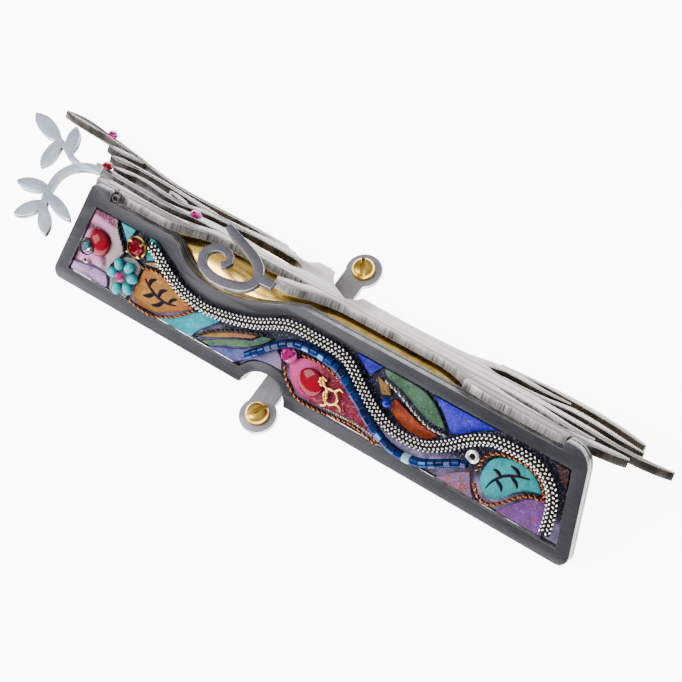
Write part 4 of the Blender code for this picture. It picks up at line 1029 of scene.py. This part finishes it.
def rolled_parchment():
    """The sheet rolled up: a spiral of one thin layer, as long as the scroll."""
    low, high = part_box("parchment_scroll")
    length = (high[0] - low[0]) / MM
    outer = (high[1] - low[1]) / 2 / MM
    lie = tube_lie("parchment_scroll")
    turns, steps, thick = 6.5, 30, 0.22
    bm = bmesh.new()
    rows = []
    for i in range(int(turns * steps) + 1):
        a = 2 * math.pi * i / steps
        r = outer - 0.02 - (outer - 1.0) * i / (turns * steps)
        rows.append([lie @ (Vector((q * math.cos(a), q * math.sin(a), z)) * MM)
                     for q, z in ((r, 0.0), (r - thick, 0.0), (r - thick, length), (r, length))])
    tube(bm, rows)
    sheet = piece_from(bm, "rolled_parchment", parchment, WALL, 40)
    settle(sheet, "parchment", "parchment_scroll", body="scroll")


def wood_screw(node, body, slot_turn):
    """A slotted round head on a threaded, pointed shank."""
    low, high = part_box(node)
    x, y = (low[0] + high[0]) / 2, (low[1] + high[1]) / 2
    top, tip = high[2] / MM, low[2] / MM
    under, head = 1.3, 2.75
    lie = Matrix.Translation((x, y, 0))
    bm = bmesh.new()
    rise = top - under
    profile = [(0, under), (head - 0.15, under), (head, under + 0.15), (head, under + 0.35)]
    profile += [(head * math.cos(a) ** 0.62, under + 0.35 + (rise - 0.35) * math.sin(a))
                for a in (math.radians(9 * k) for k in range(1, 10))] + [(0, top)]
    turned(bm, profile, 56, lie)
    cap = piece_from(bm, node + "_head", screw_brass, WALL, 35)
    bm = bmesh.new()
    slot = Matrix.Rotation(slot_turn, 4, "Z") @ Matrix.Translation((0, 0, top * MM))
    bmesh.ops.create_cube(bm, size=1.0, matrix=lie @ slot @ Matrix.Diagonal((8 * MM, 0.8 * MM, 1.9 * MM, 1)))
    take_away(cap, piece_from(bm, "slot_blade", screw_brass, WALL, 35))
    settle(cap, "brass", node, body=body)
    bm = bmesh.new()
    steps, pitch, core_radius = 20, 1.1, 1.28
    turns = int((under - 0.05 - tip) / pitch * steps) + 1
    rows = [(z, core_radius * min(1.0, 0.05 + (z - tip) / 3.4))
            for z in (tip + i * pitch / steps for i in range(0, turns, 4))] + [(under + 0.1, core_radius)]
    rings = []
    for z, core in rows:
        ring = []
        for k, a in enumerate(around(steps)):
            phase = ((z - tip) / pitch - k / steps) % 1.0
            ridge = 0.0 if z > under - 2.5 else 0.14 * (1 - abs(2 * phase - 1)) - 0.10
            reach = core + ridge * min(1.0, core)
            ring.append(lie @ (Vector((reach * math.cos(a), reach * math.sin(a), z)) * MM))
        rings.append(ring)
    tube(bm, rings)
    settle(piece_from(bm, node + "_shank", screw_brass, WALL, 50), "brass", body=body)


brass_parts()
rolled_parchment()
wood_screw("screw_panel_side", "panel_side_screw", math.radians(63))
wood_screw("screw_tree_side", "tree_side_screw", math.radians(121))

# ---- table, light and camera
bm = bmesh.new()
bmesh.ops.create_grid(bm, x_segments=2, y_segments=2, size=1.6)
table = piece_from(bm, "table_top", paper_finish(), WALL, 35)
table.location.z = -0.0001


softbox = bpy.data.lights.new("key_softbox", "AREA")
softbox.size = 0.5
softbox.energy = KEY_WATTS
key = stand("key_softbox", softbox)
key.location = (-0.42, -0.38, 0.50)
key.rotation_euler = (Vector((-0.01, 0, 0)) - key.location).to_track_quat("-Z", "Y").to_euler()

world = bpy.data.worlds.new("studio")
world.use_nodes = True
sky = world.node_tree
spread = sky.nodes.new("ShaderNodeTexCoord")
split = sky.nodes.new("ShaderNodeSeparateXYZ")
shade = sky.nodes.new("ShaderNodeValToRGB")
for element, level, strength in zip(shade.color_ramp.elements, (0.15, 0.95), (SKY_LOW, SKY_HIGH)):
    element.position = level
    element.color = (strength, strength, strength, 1.0)
sky.links.new(spread.outputs["Generated"], split.inputs[0])
sky.links.new(split.outputs["Z"], shade.inputs["Fac"])
sky.links.new(shade.outputs["Color"], sky.nodes["Background"].inputs["Color"])
bpy.context.scene.world = world

lens = bpy.data.cameras.new("camera")
lens.lens = 85.0
lens.sensor_width = 36.0
lens.clip_start = 0.01
camera = stand("camera", lens)
camera.location = (0.12632, -0.11015, 0.31799)
camera.rotation_euler = [math.radians(turn) for turn in (27.238, 7.448, 34.339)]
bpy.context.scene.camera = camera
